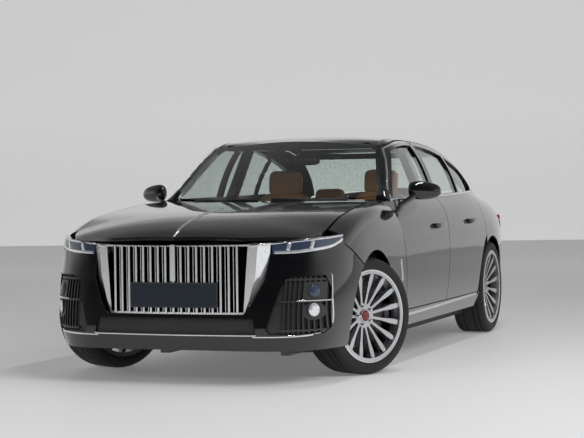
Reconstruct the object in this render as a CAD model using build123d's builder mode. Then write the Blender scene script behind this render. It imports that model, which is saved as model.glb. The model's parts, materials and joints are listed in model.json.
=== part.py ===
from build123d import *
import os
from math import cos, hypot, radians, sin, tan

import numpy as np

# A long-wheelbase four-door saloon, in millimetres.
# +X points forward, +Y to the left, +Z up.
# The origin is on the ground, under the middle of the car's bounding box.

# Overall size and wheels
LENGTH = 5137.0
WIDTH = 1904.0
HEIGHT = 1493.0
WHEELBASE = 3060.0
FRONT_OVERHANG = 890.0
TRACK = 1630.0
TYRE_RADIUS = 352.0
TYRE_WIDTH = 245.0
FLANGE_RADIUS = 280.0
RIM_WALL = 9.0
RIM_WIDTH = 226.0
TYRE_FIT = 0.3
SPOKES = 15
LUG_COUNT = 5
LUG_CIRCLE = 56.0
HUB_RADIUS = 78.0
CAP_RADIUS = 36.0
DISC_RADIUS = 186.0
DISC_THICKNESS = 34.0
ARCH_CLEARANCE = 43.0
STEER_AT_REST = 26.3

# Body heights
WAIST_Z = 650.0
SILL_Z = 234.0
DOOR_BOTTOM_Z = 342.0
FLOOR_Z = 175.0
FLOOR_THICKNESS = 70.0
BUMPER_BOTTOM_Z = 205.0

# Panel thicknesses and gaps
DOOR_THICKNESS = 56.0
FRAME_THICKNESS = 20.0
FRAME_WIDTH = 30.0
PANEL = 16.0
GLASS = 5.0
SHUT_GAP = 7.0
SEAL = 0.4
SKIN_TOLERANCE = 0.1

# Places that the rest is worked out from
NOSE_X = LENGTH / 2
TAIL_X = -LENGTH / 2
FRONT_AXLE_X = NOSE_X - FRONT_OVERHANG
REAR_AXLE_X = FRONT_AXLE_X - WHEELBASE
WHEEL_Y = TRACK / 2
HALF_WIDTH = WIDTH / 2
ARCH_RADIUS = TYRE_RADIUS + ARCH_CLEARANCE
DOOR_FRONT_X = FRONT_AXLE_X - 612.0
POST_X = DOOR_FRONT_X - 1110.0
DOOR_REAR_X = REAR_AXLE_X + 182.0
HOOD_REAR_X = DOOR_FRONT_X + 99.0
GLASS_BASE_X = DOOR_FRONT_X + 84.0
LID_FRONT_X = REAR_AXLE_X - 394.0
FAR = 3000.0


def curve(stations, values):
    """A natural cubic spline through values at stations, as a function."""
    x = np.array(stations, float)
    y = np.array(values, float)
    order = np.argsort(x)
    x, y = x[order], y[order]
    gap = np.diff(x)
    slope = np.diff(y) / gap
    count = len(x)
    matrix = np.eye(count)
    right = np.zeros(count)
    for i in range(1, count - 1):
        matrix[i, i - 1:i + 2] = gap[i - 1], 2 * (gap[i - 1] + gap[i]), gap[i]
        right[i] = 6 * (slope[i] - slope[i - 1])
    bend = np.linalg.solve(matrix, right)

    def at(t):
        i = int(np.clip(np.searchsorted(x, t) - 1, 0, count - 2))
        a = (x[i + 1] - t) / gap[i]
        b = 1 - a
        lift = ((a ** 3 - a) * bend[i] + (b ** 3 - b) * bend[i + 1]) * gap[i] ** 2 / 6
        return float(a * y[i] + b * y[i + 1] + lift)

    return at


def bezier(p0, p1, p2, p3, t):
    """The point at t on a cubic with these four poles."""
    s = 1 - t
    return tuple(
        s ** 3 * a + 3 * s * s * t * b + 3 * s * t * t * c + t ** 3 * d
        for a, b, c, d in zip(p0, p1, p2, p3)
    )


def along(points):
    """A smooth line through points, as a function of the share of its length."""
    steps = [hypot(*(b - a for a, b in zip(p, q))) for p, q in zip(points, points[1:])]
    at = np.concatenate([[0.0], np.cumsum(steps)])
    lines = [curve(at / at[-1], values) for values in zip(*points)]
    return lambda s: tuple(line(s) for line in lines)


def skin(section, starts, columns):
    """One smooth face: section(start) is a line in space, as a function from 0 to 1."""
    grid = []
    for start in starts:
        line = section(start)
        grid.append([Vector(*line(v)) for v in np.linspace(0, 1, columns)])
    return Face.make_surface_from_array_of_points(grid, tol=SKIN_TOLERANCE, min_deg=3, max_deg=5)


def mix(a, b, t):
    """The value a share t of the way from a to b."""
    return a + (b - a) * t


# Plan shape: straight flanks, with rounded ends
FRONT_ROUND_X = FRONT_AXLE_X + 121.5
FLANK_BARREL = 8.0
FRONT_PLAN = (2.5, 6.0)
REAR_PLAN = (2.0, 4.0)
SILL_TUCK = 48.0


def plan_share(x, nose, tail):
    """How wide the plan is at x, as a share of the full half width."""
    if x > FRONT_ROUND_X:
        reach = min((x - FRONT_ROUND_X) / (nose - FRONT_ROUND_X), 1.0)
        return (1 - reach ** FRONT_PLAN[0]) ** (1 / FRONT_PLAN[1])
    if x < REAR_AXLE_X:
        reach = min((REAR_AXLE_X - x) / (REAR_AXLE_X - tail), 1.0)
        return (1 - reach ** REAR_PLAN[0]) ** (1 / REAR_PLAN[1])
    return 1.0


def barrel(x):
    """How far the flank bows inwards at station x."""
    return FLANK_BARREL * (x / FRONT_AXLE_X) ** 2


def half_width(x):
    """Half the body's width at the waist, at station x."""
    return (HALF_WIDTH - barrel(x)) * plan_share(x, NOSE_X, TAIL_X)


def tuck(z):
    """How far the flank is inside the widest line, at a height below the waist."""
    return SILL_TUCK * max((WAIST_Z - z) / (WAIST_Z - SILL_Z), 0.0) ** 2.6


# The belt, where the side windows and the rear deck start
BELT_STATIONS = (TAIL_X + 90, TAIL_X + 370, TAIL_X + 570, TAIL_X + 815, REAR_AXLE_X - 120,
                 REAR_AXLE_X + 80, -730, -250, 400, DOOR_FRONT_X - 170, DOOR_FRONT_X + 30)
BELT_Y = curve(BELT_STATIONS, (560, 668, 712, 735, 762, 788, 826, 832, 826, 801, 783))
BELT_Z = curve(BELT_STATIONS, (935, 975, 1008, 1044, 1072, 1081, 1064, 1053, 1044, 1034, 1030))

# The hood's shut line along the fender, and the hood's centre line
HOOD_STATIONS = (DOOR_FRONT_X - 60, DOOR_FRONT_X + 240, FRONT_AXLE_X + 58, FRONT_AXLE_X + 360,
                 FRONT_AXLE_X + 520, FRONT_AXLE_X + 650, FRONT_AXLE_X + 765)
HOOD_Y = curve(HOOD_STATIONS, (732, 768, 800, 806, 798, 748, 650))
HOOD_Z = curve(HOOD_STATIONS, (1047, 1031, 984, 925, 868, 840, 814))
HOOD_CENTRE_Z = curve((HOOD_REAR_X, DOOR_FRONT_X + 434, FRONT_AXLE_X + 180, NOSE_X - 452,
                       NOSE_X - 218, NOSE_X - 51, NOSE_X + 8),
                      (1044, 1027, 999, 972, 926, 865, 830))


def flank(x, edge, lean, shoulder_z):
    """The body side at station x, from the sill up to its edge, as a line."""
    w = half_width(x)
    low = [(w - tuck(z), z) for z in (SILL_Z, 340.0, 480.0)]
    poles = (w, WAIST_Z), (w, shoulder_z), (edge[0] + lean[0], edge[1] - lean[1]), edge
    high = [bezier(*poles, t) for t in (0.0, 0.25, 0.5, 0.75, 1.0)]
    return along([(x, y, z) for y, z in low + high])


LEAN_STATIONS = (TAIL_X + 90, TAIL_X + 815, REAR_AXLE_X, -700, 0, DOOR_FRONT_X)
SIDE_LEAN = curve(LEAN_STATIONS, (120, 100, 72, 66, 65, 65))
SIDE_DROP = curve(LEAN_STATIONS, (10, 30, 62, 72, 72, 72))
SIDE_SHOULDER_Z = curve(LEAN_STATIONS, (860, 905, 928, 930, 930, 930))
FENDER_SHOULDER_Z = curve((DOOR_FRONT_X, FRONT_AXLE_X, FRONT_AXLE_X + 480), (950, 905, 770))
FENDER_LEAN = (96.0, 12.0)


def side_section(x):
    """The flank below the belt at station x."""
    lean = SIDE_LEAN(x), SIDE_DROP(x)
    return flank(x, (BELT_Y(x), BELT_Z(x)), lean, SIDE_SHOULDER_Z(x))


def fender_section(x):
    """The front fender at station x, from the sill up and over to the hood."""
    return flank(x, (HOOD_Y(x), HOOD_Z(x)), FENDER_LEAN, FENDER_SHOULDER_Z(x))


# The roof's edge, along the windscreen pillar, the roof and the rear pillar
ROOF_STATIONS = (DOOR_FRONT_X + 30, DOOR_FRONT_X - 106, DOOR_FRONT_X - 176, DOOR_FRONT_X - 366,
                 DOOR_FRONT_X - 506, DOOR_FRONT_X - 596, DOOR_FRONT_X - 666, DOOR_FRONT_X - 816,
                 0, -500, REAR_AXLE_X + 480, REAR_AXLE_X + 250, REAR_AXLE_X - 20,
                 REAR_AXLE_X - 220, REAR_AXLE_X - 358)
ROOF_Y = curve(ROOF_STATIONS,
               (742, 750, 748, 682, 634, 604, 590, 578, 572, 570, 568, 574, 602, 640, 676))
ROOF_Z = curve(ROOF_STATIONS, (1045, 1049, 1070, 1217, 1333, 1399, 1431, 1456, 1466, 1462,
                               1432, 1388, 1285, 1183, 1105))
CROWN_STATIONS = (DOOR_FRONT_X - 550, DOOR_FRONT_X - 800, -150, -600, REAR_AXLE_X + 480,
                  REAR_AXLE_X + 230)
CROWN_DROP = curve(CROWN_STATIONS, (47, 13, 0, 8, 30, 72))


def window_section(x):
    """The body side above the belt at station x, up to the roof's edge."""
    belt = BELT_Y(x), BELT_Z(x)
    roof = ROOF_Y(x), ROOF_Z(x)
    rise = roof[1] - belt[1]
    poles = (belt, (belt[0] - 0.15 * rise, belt[1] + 0.525 * rise),
             (roof[0] + 0.242 * rise, roof[1] - 0.012 * rise), roof)
    points = [bezier(*poles, t) for t in (0.0, 0.2, 0.4, 0.6, 0.8, 1.0)]
    return along([(x, y, z) for y, z in points])


def part_way(section, low, high):
    """The same sections, from a share low to a share high of their length."""
    def shorter(x):
        line = section(x)
        return lambda s: line(mix(low, high, s))
    return shorter


def y_on(section, x, z):
    """How far out a section's line is, at station x and height z."""
    line = section(x)
    low, high = 0.0, 1.0
    for _ in range(24):
        middle = (low + high) / 2
        if line(middle)[2] < z:
            low = middle
        else:
            high = middle
    return line(low)[1]


def outer_y(x, z):
    """How far out the body side is at station x and height z, above or below the belt."""
    if z > BELT_Z(x):
        return y_on(window_section, x, z)
    return y_on(side_section, x, z)


# How far the nose and the tail reach at each height
NOSE_AT = curve((BUMPER_BOTTOM_Z, 294, 398, 483, 610, 749, 830, 880),
                (NOSE_X - 24, NOSE_X - 2, NOSE_X - 9, NOSE_X - 28, NOSE_X - 70,
                 NOSE_X - 120, NOSE_X - 132, NOSE_X - 150))
TAIL_AT = curve((BUMPER_BOTTOM_Z, 330, 480, 640, 760, 900, 1000),
                (TAIL_X + 60, TAIL_X + 14, TAIL_X, TAIL_X + 4, TAIL_X + 34,
                 TAIL_X + 44, TAIL_X + 62))


def end_section(z, tip, start_x, plan, wide, corner, stop_x):
    """The plan line at height z from the middle of an end round its corner to stop_x."""
    line = []
    for share in np.linspace(0, wide, 7):
        reach = (1 - share ** plan[1]) ** (1 / plan[0])
        line.append((mix(start_x, tip, reach), share))
    for x in np.linspace(mix(start_x, tip, corner), stop_x, 6):
        line.append((x, plan_share(x, tip, tip)))
    width = [HALF_WIDTH - barrel(x) - tuck(z) for x, _ in line]
    return along([(x, share * w, z) for (x, share), w in zip(line, width)])


def nose_section(z):
    """The plan line of the nose at height z, from the centre back to the fender."""
    return end_section(z, NOSE_AT(z), FRONT_ROUND_X, FRONT_PLAN, 0.8, 0.72, FRONT_AXLE_X + 180)


def tail_section(z):
    """The plan line of the tail at height z, from the centre forward to the wheel."""
    return end_section(z, TAIL_AT(z), REAR_AXLE_X, REAR_PLAN, 0.72, 0.8, REAR_AXLE_X - 260)


# Outlines of the door and window openings, seen from the side
SIDE_ARC = (
    (DOOR_FRONT_X - 594, 1398), (DOOR_FRONT_X - 816, 1437), (-111, 1450), (-552, 1421),
    (REAR_AXLE_X + 456, 1360), (REAR_AXLE_X + 209, 1302), (REAR_AXLE_X + 51, 1224),
    (REAR_AXLE_X + 8, 1140),
)
SIDE_TIP = (REAR_AXLE_X + 20, 1086)
WINDOW_BASE = (DOOR_FRONT_X - 161, 1030)
WINDOW_FOOT_Z = 985
FRONT_DOOR_EDGE = (
    (DOOR_FRONT_X, 1060), (DOOR_FRONT_X, 823), (DOOR_FRONT_X - 44, 409),
    (DOOR_FRONT_X - 54, DOOR_BOTTOM_Z),
)
POST_LINE = (
    (POST_X + 50, 300), (POST_X + 50, DOOR_BOTTOM_Z), (POST_X + 30, 515), (POST_X - 8, 850),
    (POST_X - 56, 1000), (POST_X - 62, 1055), (POST_X - 56, 1170), (POST_X - 79, 1424),
    (POST_X - 84, 1500),
)
REAR_DOOR_EDGE = (
    (DOOR_REAR_X + 14, 300), (DOOR_REAR_X + 14, 700), (DOOR_REAR_X, 824), (DOOR_REAR_X + 8, 960),
    (DOOR_REAR_X - 30, 1035), (SIDE_TIP[0] - 4, SIDE_TIP[1]), (SIDE_TIP[0] - 30, 1500),
)
REAR_DOOR_ARCH = ARCH_RADIUS + 55.0
HINGE_Y = HALF_WIDTH - 6.0
FRONT_HINGE_X = DOOR_FRONT_X - 9.0
REAR_HINGE_X = POST_X + 50.0 - SHUT_GAP - 9.0
INWARD = (0, -1, 0)
SLANTED = (0, -1, -1)


def prism(points):
    """A solid across the whole car with this outline, seen from the side."""
    with BuildPart() as cutter:
        with BuildSketch(Plane.XZ):
            with BuildLine():
                Polyline(*points, close=True)
            make_face()
        extrude(amount=FAR, both=True)
    return cutter.part


def plan_prism(points, low, high):
    """A solid from height low to high with this outline, seen from above."""
    with BuildPart() as cutter:
        with BuildSketch(Plane.XY.offset(low)):
            with BuildLine():
                Polyline(*points, close=True)
            make_face()
        extrude(amount=high - low)
    return cutter.part


def front_prism(points, x_from, x_to):
    """A solid along the car with this outline, seen from the front."""
    with BuildPart() as cutter:
        with BuildSketch(Plane.YZ.offset(x_from)):
            with BuildLine():
                Polyline(*points, close=True)
            make_face()
        extrude(amount=x_to - x_from)
    return cutter.part


def across(x, z, radius):
    """A cylinder across the car, to cut a wheel's opening."""
    with BuildPart() as cutter:
        with BuildSketch(Plane.XZ):
            with Locations((x, z)):
                Circle(radius)
        extrude(amount=FAR, both=True)
    return cutter.part


FRONT_ARCH = across(FRONT_AXLE_X, TYRE_RADIUS, ARCH_RADIUS)
REAR_ARCH = across(REAR_AXLE_X, TYRE_RADIUS, ARCH_RADIUS)


def side_outline(grow):
    """The outline of both side windows, grown outwards, as a solid across the car."""
    slope = (SIDE_ARC[0][0] - WINDOW_BASE[0]) / (SIDE_ARC[0][1] - WINDOW_BASE[1])
    foot = WINDOW_BASE[0] - slope * (WINDOW_BASE[1] - WINDOW_FOOT_Z), WINDOW_FOOT_Z
    heel = SIDE_TIP[0] + 150, WINDOW_FOOT_Z
    points = [foot, *SIDE_ARC, SIDE_TIP, heel]
    grown = []
    for before, at, after in zip([foot, *points], points, [*points[1:], heel]):
        run, rise = after[0] - before[0], after[1] - before[1]
        length = hypot(run, rise)
        grown.append((at[0] + grow * rise / length, at[1] - grow * run / length))
    with BuildPart() as cutter:
        with BuildSketch(Plane.XZ):
            with BuildLine():
                Spline(*grown[1:-2])
                Polyline(grown[-3], grown[-2], grown[-1], grown[0], grown[1])
            make_face()
        extrude(amount=FAR, both=True)
    return cutter.part


def swept_limit(hinge_x, line, grow):
    """What a door may fill behind its hinge, as a solid turned about the hinge's line."""
    rim = []
    for x, z in line:
        reach = hypot(hinge_x - x, HINGE_Y - outer_y(x, z))
        rim.append((hinge_x - reach - grow, z))
    with BuildPart() as limit:
        with BuildSketch(Plane.XZ.offset(-HINGE_Y)):
            with BuildLine():
                Polyline((hinge_x, line[-1][1]), (hinge_x, line[0][1]), *rim, close=True)
            make_face()
        revolve(axis=Axis((hinge_x, HINGE_Y, 0), (0, 0, 1)))
    return limit.part


FRONT_LIMIT = swept_limit(FRONT_HINGE_X, POST_LINE, 0.0)
POST_LIMIT = swept_limit(FRONT_HINGE_X, POST_LINE, SHUT_GAP)
REAR_LIMIT = swept_limit(REAR_HINGE_X, REAR_DOOR_EDGE, 0.0)
QUARTER_LIMIT = swept_limit(REAR_HINGE_X, REAR_DOOR_EDGE, SHUT_GAP)


def slab(section, starts, columns, direction, thickness):
    """A panel: its skin, thickened inwards along one direction."""
    with BuildPart() as panel:
        extrude(skin(section, starts, columns), amount=thickness, dir=direction)
    return panel.part


def mirrored(piece):
    """The same piece on the other side of the car."""
    with BuildPart() as other:
        mirror(piece.part, about=Plane.XZ)
    return other


def save(piece, name):
    """Label one finished piece and write it."""
    piece.part.label = name
    export_step(piece.part, f"parts/{name}.step")


os.makedirs("parts", exist_ok=True)

WINDOWS = side_outline(0.0)
PILLAR_GAP = 44.0
PANE_SILL = 22.0
FRONT_PANE = (DOOR_FRONT_X - 90, POST_X - 62 + PILLAR_GAP)
REAR_PANE = (POST_X - 62 - PILLAR_GAP, REAR_AXLE_X + 592)
QUARTER_PANE = (REAR_AXLE_X + 550, REAR_AXLE_X - 100)


def pane_prism(ends, lap):
    """The opening of one side window, grown by lap, as a solid across the car."""
    front, rear = ends
    floor = [BELT_Z(x) + PANE_SILL - lap for x in (min(front, WINDOW_BASE[0]), rear)]
    with BuildPart() as cut:
        add(prism([(front + lap, floor[0]), (front + lap, 1700),
                   (rear - lap, 1700), (rear - lap, floor[1])]))
        add(side_outline(lap - FRAME_WIDTH), mode=Mode.INTERSECT)
    return cut.part


WINDOW_STATIONS = np.linspace(REAR_AXLE_X - 60, DOOR_FRONT_X - 140, 28)


def window_shell(depth, thickness):
    """The side's surface above the belt, sunk by depth and thickened."""
    shell = slab(part_way(window_section, -0.04, 0.97), WINDOW_STATIONS, 12, INWARD, thickness)
    return shell.moved(Location((0, -depth, 0)))


FRAME_SHELL = window_shell(0.0, FRAME_THICKNESS)
PANE_PRISMS = [pane_prism(ends, 0.0) for ends in (FRONT_PANE, REAR_PANE, QUARTER_PANE)]

with BuildPart() as frames:
    add(FRAME_SHELL)
    add(WINDOWS, mode=Mode.INTERSECT)
    add(PANE_PRISMS, mode=Mode.SUBTRACT)

FOOT_Y = (700.0, 760.0)
POST_FACE_X = DOOR_FRONT_X - 26.0
COWL_Z = 1004.0

# Front doors: shell, window frame, mirror and handle
MIRROR_X = DOOR_FRONT_X - 342
MIRROR_Z = 1106.0
MIRROR_SWEEP = 0.36
MIRROR_DROOP = 0.05
MIRROR_INNER_Y = 878.0
MIRROR_RINGS = ((1072.0, 14.0, 16.0), (1058.0, 32.0, 34.0), (1012.0, 48.0, 53.0),
                (950.0, 54.0, 61.0), (900.0, 46.0, 55.0), (MIRROR_INNER_Y, 26.0, 36.0))
MIRROR_FOOT = (DOOR_FRONT_X - 280, 1000.0)
HANDLE_LENGTH = 250.0
HANDLE_HEIGHT = 28.0
HANDLE_BOW = 40.0
HANDLE_GRIP = 13.0
FRONT_HANDLE = (DOOR_FRONT_X - 853, 864.0)
REAR_HANDLE = (DOOR_FRONT_X - 1799, 878.0)


def handle(x, z):
    """A door handle that bows out from the skin at station x and height z."""
    y = outer_y(x, z)
    half = HANDLE_LENGTH / 2
    foot = y - 12
    with BuildPart() as grip:
        with BuildSketch(Plane.XY.offset(z - HANDLE_HEIGHT / 2)):
            with BuildLine():
                Spline((x - half, foot), (x - half + 24, y + HANDLE_BOW * 0.7), (x, y + HANDLE_BOW),
                       (x + half - 24, y + HANDLE_BOW * 0.7), (x + half, foot))
                Line((x + half, foot), (x + half - 26, foot))
                Spline((x + half - 26, foot), (x + half - 46, y + 16),
                       (x, y + HANDLE_BOW - HANDLE_GRIP), (x - half + 46, y + 16),
                       (x - half + 26, foot))
                Line((x - half + 26, foot), (x - half, foot))
            make_face()
        extrude(amount=HANDLE_HEIGHT)
    return grip.part


def mirror_middle(y):
    """Station and height of the mirror housing's middle at distance y from the centre."""
    out = y - MIRROR_INNER_Y
    return MIRROR_X - MIRROR_SWEEP * out, MIRROR_Z - MIRROR_DROOP * out


with BuildPart() as mirror_housing:
    for y, deep, high in MIRROR_RINGS:
        with BuildSketch(Plane.XZ.offset(-y)):
            with Locations(mirror_middle(y)):
                Ellipse(deep, high)
    loft()
    with BuildSketch(Plane.XY.offset(MIRROR_Z - 100)):
        with BuildLine():
            Polyline((MIRROR_X - 20, 840), (MIRROR_X - 20 - MIRROR_SWEEP * 260, 1100),
                     (MIRROR_X - 220, 1100), (MIRROR_X - 220, 840), close=True)
        make_face()
    extrude(amount=200, mode=Mode.SUBTRACT)

with BuildPart() as mirror_arm:
    with BuildSketch(Plane.XZ.offset(-828)):
        with Locations(MIRROR_FOOT):
            RectangleRounded(92, 34, 12)
    with BuildSketch(Plane.XZ.offset(-930)):
        with Locations((MIRROR_X + 2, MIRROR_Z - 28)):
            RectangleRounded(62, 40, 14)
    loft()

with BuildPart() as door_front_left:
    stations = np.linspace(POST_X - 110, DOOR_FRONT_X + 20, 20)
    add(slab(part_way(side_section, 0.05, 1.0), stations, 16, INWARD, DOOR_THICKNESS))
    add(prism([*FRONT_DOOR_EDGE, (POST_X - 320, DOOR_BOTTOM_Z), (POST_X - 320, 1060)]),
        mode=Mode.INTERSECT)
    with Locations((DOOR_FRONT_X - 80, FOOT_Y[1] + 8, 1000)):
        Box(300, 200, 160, align=(Align.CENTER, Align.MAX, Align.CENTER), mode=Mode.SUBTRACT)
    add(frames.part)
    add(FRONT_LIMIT, mode=Mode.INTERSECT)
    add(handle(*FRONT_HANDLE))
    add(mirror_arm.part)
    add(mirror_housing.part)
save(door_front_left, "door_front_left")

# Rear doors, which carry the quarter window too
with BuildPart() as door_rear_left:
    stations = np.linspace(DOOR_REAR_X - 220, POST_X + 90, 20)
    add(slab(part_way(side_section, 0.05, 1.0), stations, 16, INWARD, DOOR_THICKNESS))
    add(prism([(POST_X + 90, 1080), (POST_X + 90, DOOR_BOTTOM_Z),
               (DOOR_REAR_X - 220, DOOR_BOTTOM_Z), (DOOR_REAR_X - 220, 1090)]),
        mode=Mode.INTERSECT)
    add(across(REAR_AXLE_X, TYRE_RADIUS, REAR_DOOR_ARCH), mode=Mode.SUBTRACT)
    add(frames.part)
    add(POST_LIMIT, mode=Mode.SUBTRACT)
    add(REAR_LIMIT, mode=Mode.INTERSECT)
    add(handle(*REAR_HANDLE))
save(door_rear_left, "door_rear_left")

# Side glass, just inside its frames
GLASS_LAP = 9.0
GLASS_SHELL = window_shell(FRAME_THICKNESS + SEAL, GLASS)
with BuildPart() as glass_front_left:
    add(GLASS_SHELL)
    add(pane_prism(FRONT_PANE, GLASS_LAP), mode=Mode.INTERSECT)
save(glass_front_left, "glass_front_left")
with BuildPart() as glass_main:
    add(GLASS_SHELL)
    add(pane_prism(REAR_PANE, GLASS_LAP), mode=Mode.INTERSECT)
with BuildPart() as glass_quarter:
    add(GLASS_SHELL)
    add(pane_prism(QUARTER_PANE, GLASS_LAP), mode=Mode.INTERSECT)
with BuildPart() as glass_rear_left:
    add(glass_main.part)
    add(glass_quarter.part)
save(glass_rear_left, "glass_rear_left")

# Windscreen and rear window
ROOF_FRONT_X = DOOR_FRONT_X - 550
ROOF_CORNER_X = DOOR_FRONT_X - 600
ROOF_REAR_X = REAR_AXLE_X + 246


def glass_between(middle, edge):
    """Bowed glass: its line across at share s, from a middle line and an edge line."""
    def section(s):
        a, b = middle(s), edge(s)

        def line(v):
            share = 2 * v - 1
            bow = share * share
            return mix(a[0], b[0], bow), share * b[1], mix(a[2], b[2], bow)

        return line
    return section


GLASS_BOW = 26.0
GLASS_INSET = 9.6
SCREEN_SIDE = (DOOR_FRONT_X - 178, ROOF_CORNER_X)
COWL_EDGE_Z = HOOD_CENTRE_Z(HOOD_REAR_X) + 2


def screen_middle(s):
    """The windscreen's centre line, from its foot up to the roof."""
    bow = GLASS_BOW * 4 * s * (1 - s)
    top_z = HEIGHT - CROWN_DROP(ROOF_FRONT_X) - 1
    return mix(GLASS_BASE_X, ROOF_FRONT_X, s) + bow * 0.5, 0, mix(COWL_EDGE_Z, top_z, s) + bow * 0.8


def screen_edge(s):
    """The windscreen's edge along the pillar."""
    x = mix(*SCREEN_SIDE, s)
    return x, ROOF_Y(x) - GLASS_INSET, ROOF_Z(x) - 1


SCREEN_IN = Vector(-1, 0, -1.4).normalized()
BACK_IN = Vector(1, 0, -1.4).normalized()


def glazing(middle, edge, inward, sink, thickness):
    """A layer of a windscreen, sunk below its outer face and thickened inwards."""
    layer = slab(glass_between(middle, edge), np.linspace(0, 1, 14), 15, inward, thickness)
    return layer.moved(Location(inward * sink))


with BuildPart() as windscreen:
    add(glazing(screen_middle, screen_edge, SCREEN_IN, 0.0, GLASS))
save(windscreen, "windscreen")

BACK_SIDE = (REAR_AXLE_X - 340, REAR_AXLE_X + 232)
BACK_FOOT = (LID_FRONT_X + 12, 1100.0)


def back_middle(s):
    """The rear window's centre line, from the parcel shelf up to the roof."""
    bow = GLASS_BOW * 4 * s * (1 - s)
    top_z = HEIGHT - CROWN_DROP(ROOF_REAR_X) - 1
    return mix(BACK_FOOT[0], ROOF_REAR_X - 6, s) - bow * 0.5, 0, mix(BACK_FOOT[1], top_z, s) + bow


def back_edge(s):
    """The rear window's edge along the rear pillar."""
    x = mix(*BACK_SIDE, s)
    return x, ROOF_Y(x) - GLASS_INSET, ROOF_Z(x) - 1


with BuildPart() as rear_window:
    add(glazing(back_middle, back_edge, BACK_IN, 0.0, GLASS))
save(rear_window, "rear_window")
with BuildPart() as glass_room:
    add(glazing(screen_middle, screen_edge, SCREEN_IN, -40.0, GLASS + 40.0 + SEAL))
    add(glazing(back_middle, back_edge, BACK_IN, -40.0, GLASS + 40.0 + SEAL))


# Side frames: pillars, roof rail, rear quarter and sill of each side in one pressing
PILLAR_THICKNESS = 26.0
PILLAR_DEPTH = 50.0
PILLAR_LAP = 38.0
SILL_TOP_Z = DOOR_BOTTOM_Z - SHUT_GAP
SILL_DEPTH = 170.0
SILL_INNER_Y = 800.0
LAMP_TOP_Z = 905.0
LAMP_LOW_Z = 772.0
REAR_BUMPER_TOP_Z = 745.0
REAR_SHUT = ((TAIL_X - 50, REAR_BUMPER_TOP_Z + 7), (REAR_AXLE_X - 560, REAR_BUMPER_TOP_Z + 7),
             (REAR_AXLE_X - 300, 560), (REAR_AXLE_X - 300, 100), (TAIL_X - 50, 100))
QUARTER_TAIL_X = TAIL_X + 95
LAMP_FRONT_X = REAR_AXLE_X - 640
LAMP_ROOM = ((TAIL_X - 60, LAMP_LOW_Z - 4), (LAMP_FRONT_X + 40, LAMP_LOW_Z - 4),
             (LAMP_FRONT_X, LAMP_TOP_Z - 30), (LAMP_FRONT_X - 30, LAMP_TOP_Z),
             (TAIL_X - 60, LAMP_TOP_Z + 6))
LID_PLAN = ((LID_FRONT_X, 706), (TAIL_X + 640, 700), (TAIL_X + 468, 676), (TAIL_X + 220, 590),
            (TAIL_X + 142, 553), (TAIL_X - 60, 548))

# The door frames shut into a rebate, outside the pillars' inner flange
with BuildPart() as rebate:
    add(window_shell(-6.0, FRAME_THICKNESS + SHUT_GAP + 6.0))
    add(side_outline(SHUT_GAP), mode=Mode.INTERSECT)

with BuildPart() as below_belt:
    add(side_outline(SHUT_GAP))
    belt = [(x, BELT_Z(x) + SHUT_GAP) for x in np.linspace(REAR_AXLE_X - 20, DOOR_FRONT_X, 24)]
    add(prism([*belt, (DOOR_FRONT_X, 900), (REAR_AXLE_X - 20, 900)]), mode=Mode.INTERSECT)

with BuildPart() as upper_side:
    stations = np.linspace(REAR_AXLE_X - 352, DOOR_FRONT_X - 160, 28)
    add(slab(part_way(window_section, -0.04, 1.0), stations, 12, SLANTED, PILLAR_DEPTH))
    add(rebate.part, mode=Mode.SUBTRACT)
    add(side_outline(-PILLAR_LAP), mode=Mode.SUBTRACT)
    add(below_belt.part, mode=Mode.SUBTRACT)
    add(glass_room.part, mode=Mode.SUBTRACT)

with BuildPart() as quarter:
    stations = np.linspace(QUARTER_TAIL_X, DOOR_REAR_X + 300, 22)
    add(slab(part_way(side_section, 0.0, 1.012), stations, 18, SLANTED, PILLAR_THICKNESS))
    add(QUARTER_LIMIT, mode=Mode.SUBTRACT)
    add(REAR_ARCH, mode=Mode.SUBTRACT)
    add(prism([(REAR_AXLE_X + 1000, 1000), (REAR_AXLE_X + 1000, 100),
               (REAR_AXLE_X + 200, 100), (REAR_AXLE_X + 200, SILL_TOP_Z)]), mode=Mode.SUBTRACT)
    add(prism(REAR_SHUT), mode=Mode.SUBTRACT)
    add(prism(LAMP_ROOM), mode=Mode.SUBTRACT)
    add(plan_prism([(x, y + 9) for x, y in LID_PLAN] + [(TAIL_X - 60, 0), (LID_FRONT_X, 0)],
                   700, 1200), mode=Mode.SUBTRACT)

with BuildPart() as rocker:
    stations = np.linspace(REAR_AXLE_X + 200, FRONT_AXLE_X - 200, 14)
    add(slab(part_way(side_section, 0.0, 0.2), stations, 6, INWARD, SILL_DEPTH))
    add(prism([(REAR_AXLE_X, SILL_TOP_Z), (REAR_AXLE_X, 100), (FRONT_AXLE_X, 100),
               (FRONT_AXLE_X, SILL_TOP_Z)]), mode=Mode.INTERSECT)
    add([FRONT_ARCH, REAR_ARCH], mode=Mode.SUBTRACT)
    with Locations((0, SILL_INNER_Y, 0)):
        Box(FAR * 2, FAR, FAR, align=(Align.CENTER, Align.MIN, Align.CENTER),
            mode=Mode.INTERSECT)

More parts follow.
